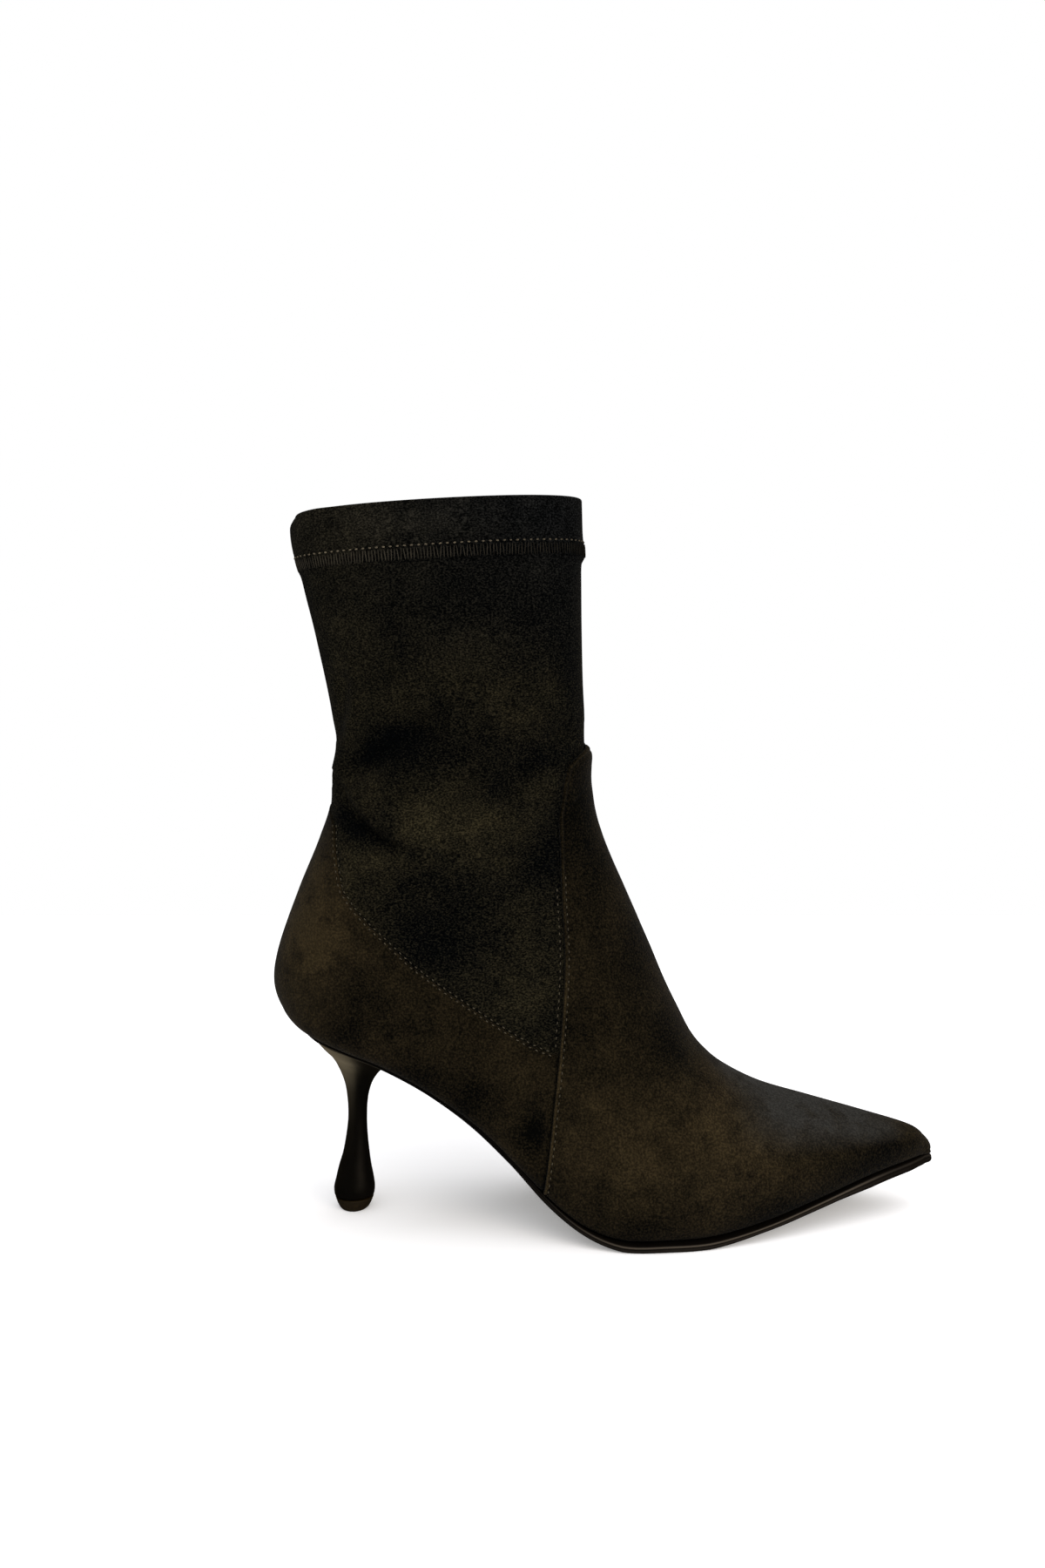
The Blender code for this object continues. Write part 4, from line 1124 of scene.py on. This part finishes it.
def stitchTree():
    tree = bpy.data.node_groups.new("stitchesAlongLine", "GeometryNodeTree")
    kinds = {"Geometry": "Geometry", "Pitch": "Float", "Length": "Float", "Thickness": "Float",
             "Slant": "Float", "Wander": "Float", "Seed": "Int", "Thread": "Material"}
    sockets = {name: tree.interface.new_socket(name, in_out="INPUT", socket_type="NodeSocket" + kind)
               for name, kind in kinds.items()}
    tree.interface.new_socket("Geometry", in_out="OUTPUT", socket_type="NodeSocketGeometry")
    given = addNode(tree, "NodeGroupInput").outputs

    def add(kind, sockets=None, **settings):
        return addNode(tree, kind, sockets, **settings).outputs[0]

    line = add("GeometryNodeMeshToCurve", {"Mesh": given["Geometry"]})
    points = add("GeometryNodeResampleCurve", {"Curve": line, "Length": given["Pitch"]}, mode="LENGTH")
    ball = add("GeometryNodeMeshUVSphere", {"Segments": 8, "Rings": 5, "Radius": 0.5})
    flat = mathNode(tree, "MULTIPLY", given["Thickness"], 0.75)
    size = add("ShaderNodeCombineXYZ", {0: given["Length"], 1: given["Thickness"], 2: flat})
    shape = add("GeometryNodeTransform", {"Geometry": ball, "Scale": size})
    shape = add("GeometryNodeSetShadeSmooth", {"Geometry": shape})
    lay, out = (add("GeometryNodeInputNamedAttribute", {"Name": name}, data_type="FLOAT_VECTOR")
                for name in ("lay", "out"))
    along = add("FunctionNodeAlignRotationToVector", {"Vector": lay}, axis="X")
    facing = add("FunctionNodeAlignRotationToVector", {"Rotation": along, "Vector": out},
                 axis="Z", pivot_axis="X")
    parity = mathNode(tree, "MODULO", add("GeometryNodeInputIndex"), 2.0)
    swing = mathNode(tree, "MULTIPLY_ADD", parity, 2.0, -1.0)
    drift = addNode(tree, "FunctionNodeRandomValue", {2: -1.0, 3: 1.0, "Seed": given["Seed"]},
                    data_type="FLOAT").outputs[1]
    wander = mathNode(tree, "MULTIPLY", drift, given["Wander"])
    turn = mathNode(tree, "MULTIPLY_ADD", swing, given["Slant"], wander)
    spin = add("FunctionNodeAxisAngleToRotation", {"Axis": (0.0, 0.0, 1.0), "Angle": turn})
    rotation = add("FunctionNodeRotateRotation", {"Rotation": facing, "Rotate By": spin},
                   rotation_space="LOCAL")
    sewn = add("GeometryNodeInstanceOnPoints", {"Points": points, "Instance": shape, "Rotation": rotation})
    real = add("GeometryNodeRealizeInstances", {"Geometry": sewn})
    dyed = add("GeometryNodeSetMaterial", {"Geometry": real, "Material": given["Thread"]})
    addNode(tree, "NodeGroupOutput", {"Geometry": dyed})
    return tree, {name: socket.identifier for name, socket in sockets.items()}


stitchNodes, stitchInputs = stitchTree()


def sew(name, lines, look, material):
    # lines: (points, lay, out, closed) in millimetres; the result is one plain mesh
    edges = []
    first = 0
    for points, _, _, closed in lines:
        end = first + len(points)
        edges += [(i, i + 1) for i in range(first, end - 1)]
        if closed:
            edges.append((end - 1, first))
        first = end
    spots, lays, outs = (np.concatenate([line[k] for line in lines]) for k in range(3))
    mesh = bpy.data.meshes.new(name + "Line")
    mesh.from_pydata(((spots - boxMiddle) * mm).tolist(), edges, [])
    for key, numbers in (("lay", lays), ("out", outs)):
        layer = mesh.attributes.new(key, "FLOAT_VECTOR", "POINT")
        layer.data.foreach_set("vector", numbers.astype(np.float32).ravel())
    line = addObject(name + "Line", mesh)
    nodes = line.modifiers.new("stitches", "NODES")
    nodes.node_group = stitchNodes
    for key, value in (("Pitch", look["pitch"] * mm), ("Length", look["length"] * mm),
                       ("Thickness", look["thick"] * mm), ("Slant", math.radians(look["slant"])),
                       ("Wander", math.radians(look["wander"])), ("Seed", look["seed"]),
                       ("Thread", material)):
        nodes[stitchInputs[key]] = value
    ready = line.evaluated_get(bpy.context.evaluated_depsgraph_get())
    sewn = bpy.data.meshes.new_from_object(ready)
    line.modifiers.remove(nodes)
    bpy.data.objects.remove(line)
    sewn.name = name
    for key in ("lay", "out"):
        if key in sewn.attributes:
            sewn.attributes.remove(sewn.attributes[key])
    print("sewn", name, len(sewn.polygons), "faces")
    return addObject(name, sewn)


def onUpper(base, u):
    return seamRise(base)


def onVamp(base, u):
    return groove + vampLift(base)


def onCounter(base, u):
    return groove * counterThin(u)


def sideLine(look, path, shift, side, height):
    # a sewn line beside a path in the side view, on its left if positive, laid on one side of the boot
    along = unit(np.gradient(path, axis=0))
    u, t = onLast(path[:, 0] - shift * along[:, 1], path[:, 1] + shift * along[:, 0])
    v = side * t
    base = lastPoint(u, v)
    out = lastNormal(u, v)
    points = lifted(base, foldLift(base) + height(base, u) + look["raise"], out)
    return points, unit(np.gradient(points, axis=0)), out, False


# each stitch shows as a short pale crown, a painted glint; between two of them the thread dips into its hole
# and is dark, its own dark colour with painted shade
vampStitches = {"pitch": 2.6, "length": 1.15, "thick": 0.42, "slant": 0.0, "wander": 5.0, "seed": 3,
                "ahead": 1.6, "behind": 1.5, "from": 14.5, "behindFrom": 70.0, "behindEnd": 4.0,
                "to": 128.0, "dipsTo": 166.0, "raise": 0.06, "points": 480, "behindPoints": 320}
counterStitches = {"pitch": 2.5, "length": 1.15, "thick": 0.42, "slant": 8.0, "wander": 6.0, "seed": 5,
                   "below": 0.6, "above": 0.6, "raise": 0.08, "start": -20.5, "stagger": 1.2,
                   "run": (-94.0, 300), "climb": (-94.3, -99.8, 60)}
dips = {"length": 1.5, "thick": 0.5, "sink": 0.12}
hem = {"points": 400, "raise": 0.1, "probe": 0.1}
hemDots = {"pitch": 2.6, "length": 1.2, "thick": 0.65, "slant": 0.0, "wander": 12.0, "seed": 7, "row": 26.27}
hemLadder = {"pitch": 1.2, "length": 5.0, "thick": 0.42, "slant": 1.5, "wander": 6.0, "seed": 9, "row": 26.14}


def sewDips(name, lines, look):
    # the dark stretches between the crowns, the thread's own dark colour with painted shade in its holes,
    # half a stitch further along the same lines
    sunk = []
    for points, lay, out, closed in lines:
        first = int(np.searchsorted(np.cumsum(stepsAlong(points, 0)), 0.5 * look["pitch"]))
        sunk.append((points[first:] - dips["sink"] * out[first:], lay[first:], out[first:], closed))
    return sew(name, sunk, {**look, "length": dips["length"], "thick": dips["thick"]}, holeShadeThread)


def sewVamp():
    look = vampStitches
    runs = {"to": [], "dipsTo": []}
    for top, lines in runs.items():
        path = vampLine(np.linspace(look["from"], look[top], look["points"]))
        upperZ = np.linspace(look["behindFrom"], look[top] - look["behindEnd"], look["behindPoints"])
        upperPath = vampLine(upperZ)
        for side in (-1, 1):
            lines.append(sideLine(look, path, -look["ahead"], side, onVamp))
            lines.append(sideLine(look, upperPath, look["behind"], side, onUpper))
    return (sew("vampStitching", runs["to"], look, glintSeamThread),
            sewDips("vampStitchDips", runs["dipsTo"], look))


def sewCounter():
    look = counterStitches
    lines = []
    for side in (-1, 1):
        for shift, start, height in ((look["below"], look["start"], onCounter),
                                     (-look["above"], look["start"] - look["stagger"], onUpper)):
            x = np.concatenate([np.linspace(start, *look["run"]), np.linspace(*look["climb"])])
            lines.append(sideLine(look, counterLine(x), shift, side, height))
    return (sew("counterStitching", lines, look, glintSeamThread), sewDips("counterStitchDips", lines, look))


def hemLine(row, down):
    v = np.linspace(-1.0, 1.0, hem["points"], endpoint=False)
    u = row + hemShift(lastPoint(row, v))
    points, _ = upperSkin(u, v)
    out = lastNormal(u, v)
    if down:
        lay = upperSkin(u - hem["probe"], v)[0] - upperSkin(u + hem["probe"], v)[0]
    else:
        lay = np.roll(points, -1, axis=0) - np.roll(points, 1, axis=0)
    return points + hem["raise"] * out, unit(lay), out, True


vampThread, vampDips = sewVamp()
counterThread, counterDips = sewCounter()
hemThreadDots = sew("hemStitching", [hemLine(hemDots["row"], False)], hemDots, needleThread)
hemThreadLadder = sew("hemCoverstitch", [hemLine(hemLadder["row"], True)], hemLadder, hemThread)

for piece, node, slot in (
        (upperPiece, "upper", "stretch_suede"), (vampPiece, "vamp", "panel_suede"),
        (counterPiece, "counter", "panel_suede"), (solePiece, "outsole", "sole_leather"),
        (sockPiece, "insole", "insole_leather"), (heelPiece, "heel", "heel_lacquer"),
        (liftPiece, "top_lift", "lift_rubber"), (vampThread, None, "panel_suede"),
        (vampDips, None, "panel_suede"), (counterThread, None, "panel_suede"),
        (counterDips, None, "panel_suede"), (hemThreadDots, None, "stretch_suede"),
        (hemThreadLadder, None, "stretch_suede")):
    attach(piece, "root")
    if node:
        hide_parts(node)
print("pieces ride on the frame")


# studio: pale floor, soft light, camera at the photograph's angle

studio = {
    "floor": "#f4f3f1", "floorHalf": 0.6, "floorGlow": 0.3, "backdrop": "#ffffff",
    "fill": "#ffffff", "fillStrength": 0.22,
    "mirrored": "#b8a68a", "mirroredStrength": 0.065,    # what gloss sees of the room
    "dome": ((0.25, -0.25, 1.0), 3.4, 110.0, "#f8f9ff"),    # from where, strength, spread in degrees, colour
    "lights": [  # name, place, aim, width, height, watts, spread, colour, lights the boot or only its gloss
        ("frontSoftbox", (0.75, -0.9, 0.55), (0.05, 0.0, 0.04), 0.6, 0.6, 3.0, 180.0, "#ffe9cc", True),
        ("heelCard", (-0.155, 0.05, 0.003), (-0.155, 0.05, 1.0), 0.09, 0.18, 0.055, 135.0, "#e6d3ae", False),
    ],
    "camera": (-0.03061, -0.48944, 0.202), "sensor": 36.0,
    "focalPixels": 1478.0, "imageHeight": 1800.0, "opticalRow": 777.0,
}


def buildFloor():
    half = studio["floorHalf"]
    mesh = bpy.data.meshes.new("paleFloor")
    corners = [(x * half, y * half, 0.0) for x, y in ((-1, -1), (1, -1), (1, 1), (-1, 1))]
    mesh.from_pydata(corners, [], [(0, 1, 2, 3)])
    # Matt paper lit from below: an even, shadowless white with no shine.
    material, tree, place = newMaterial("matt paper sweep")
    rough = remap(tree, noise(tree, place, 2.5, 2.0), (0.0, 1.0), (0.8, 0.95))
    color = hexColor(studio["floor"])
    glow = {"Emission Color": color, "Emission Strength": studio["floorGlow"]}
    mesh.materials.append(dress(material, color, rough, 0.1, glow))
    floor = addObject("paleFloor", mesh)
    floor.visible_glossy = False    # the lacquer mirrors the dim room and the card, not the bright paper


def buildWorld():
    world = bpy.data.worlds.new("softStudio")
    world.use_nodes = True
    tree = world.node_tree
    tree.nodes.clear()
    sky, room, paper = (
        addNode(tree, "ShaderNodeBackground", {"Color": hexColor(color), "Strength": strength}).outputs[0]
        for color, strength in ((studio["fill"], studio["fillStrength"]),
                                (studio["mirrored"], studio["mirroredStrength"]), (studio["backdrop"], 1.0)))
    ray = addNode(tree, "ShaderNodeLightPath").outputs
    lit = addNode(tree, "ShaderNodeMixShader", {0: ray["Is Glossy Ray"], 1: sky, 2: room}).outputs[0]
    both = addNode(tree, "ShaderNodeMixShader", {0: ray["Is Camera Ray"], 1: lit, 2: paper}).outputs[0]
    addNode(tree, "ShaderNodeOutputWorld", {"Surface": both})
    bpy.context.scene.world = world


def addLamp(name, kind, energy, color, toward, settings):
    # toward: the way back from what is lit to the lamp
    light = bpy.data.lights.new(name, kind)
    light.energy = energy
    light.color = hexColor(color)[:3]
    for key, value in settings.items():
        setattr(light, key, value)
    x, y, z = toward
    lamp = addObject(name, light)
    lamp.rotation_euler = (math.atan2(math.hypot(x, y), z), 0.0, math.atan2(x, -y))
    return lamp


def buildLights():
    toward, strength, spread, color = studio["dome"]
    dome = addLamp("overheadDome", "SUN", strength, color, toward, {"angle": math.radians(spread)})
    dome.visible_glossy = False    # a scrim this wide would grey the black lacquer all over
    for name, place, aim, width, height, watts, spread, color, lit in studio["lights"]:
        toward = [a - b for a, b in zip(place, aim)]
        lamp = addLamp(name, "AREA", watts, color, toward, {
            "shape": "RECTANGLE", "size": width, "size_y": height, "spread": math.radians(spread)})
        lamp.location = place
        lamp.visible_camera = False
        lamp.visible_diffuse = lit


def buildCamera():
    height = studio["imageHeight"]
    view = bpy.data.cameras.new("photoView")
    view.sensor_fit = "AUTO"
    view.sensor_width = studio["sensor"]
    view.lens = studio["sensor"] * studio["focalPixels"] / height
    view.shift_y = (studio["opticalRow"] - 0.5 * height) / height
    view.clip_start = 0.01
    camera = addObject("photoView", view)
    camera.location = studio["camera"]
    camera.rotation_euler = (0.5 * math.pi, 0.0, 0.0)
    bpy.context.scene.camera = camera
    bpy.context.scene.view_settings.view_transform = "Standard"


buildFloor()
buildWorld()
buildLights()
buildCamera()
print("studio ready")
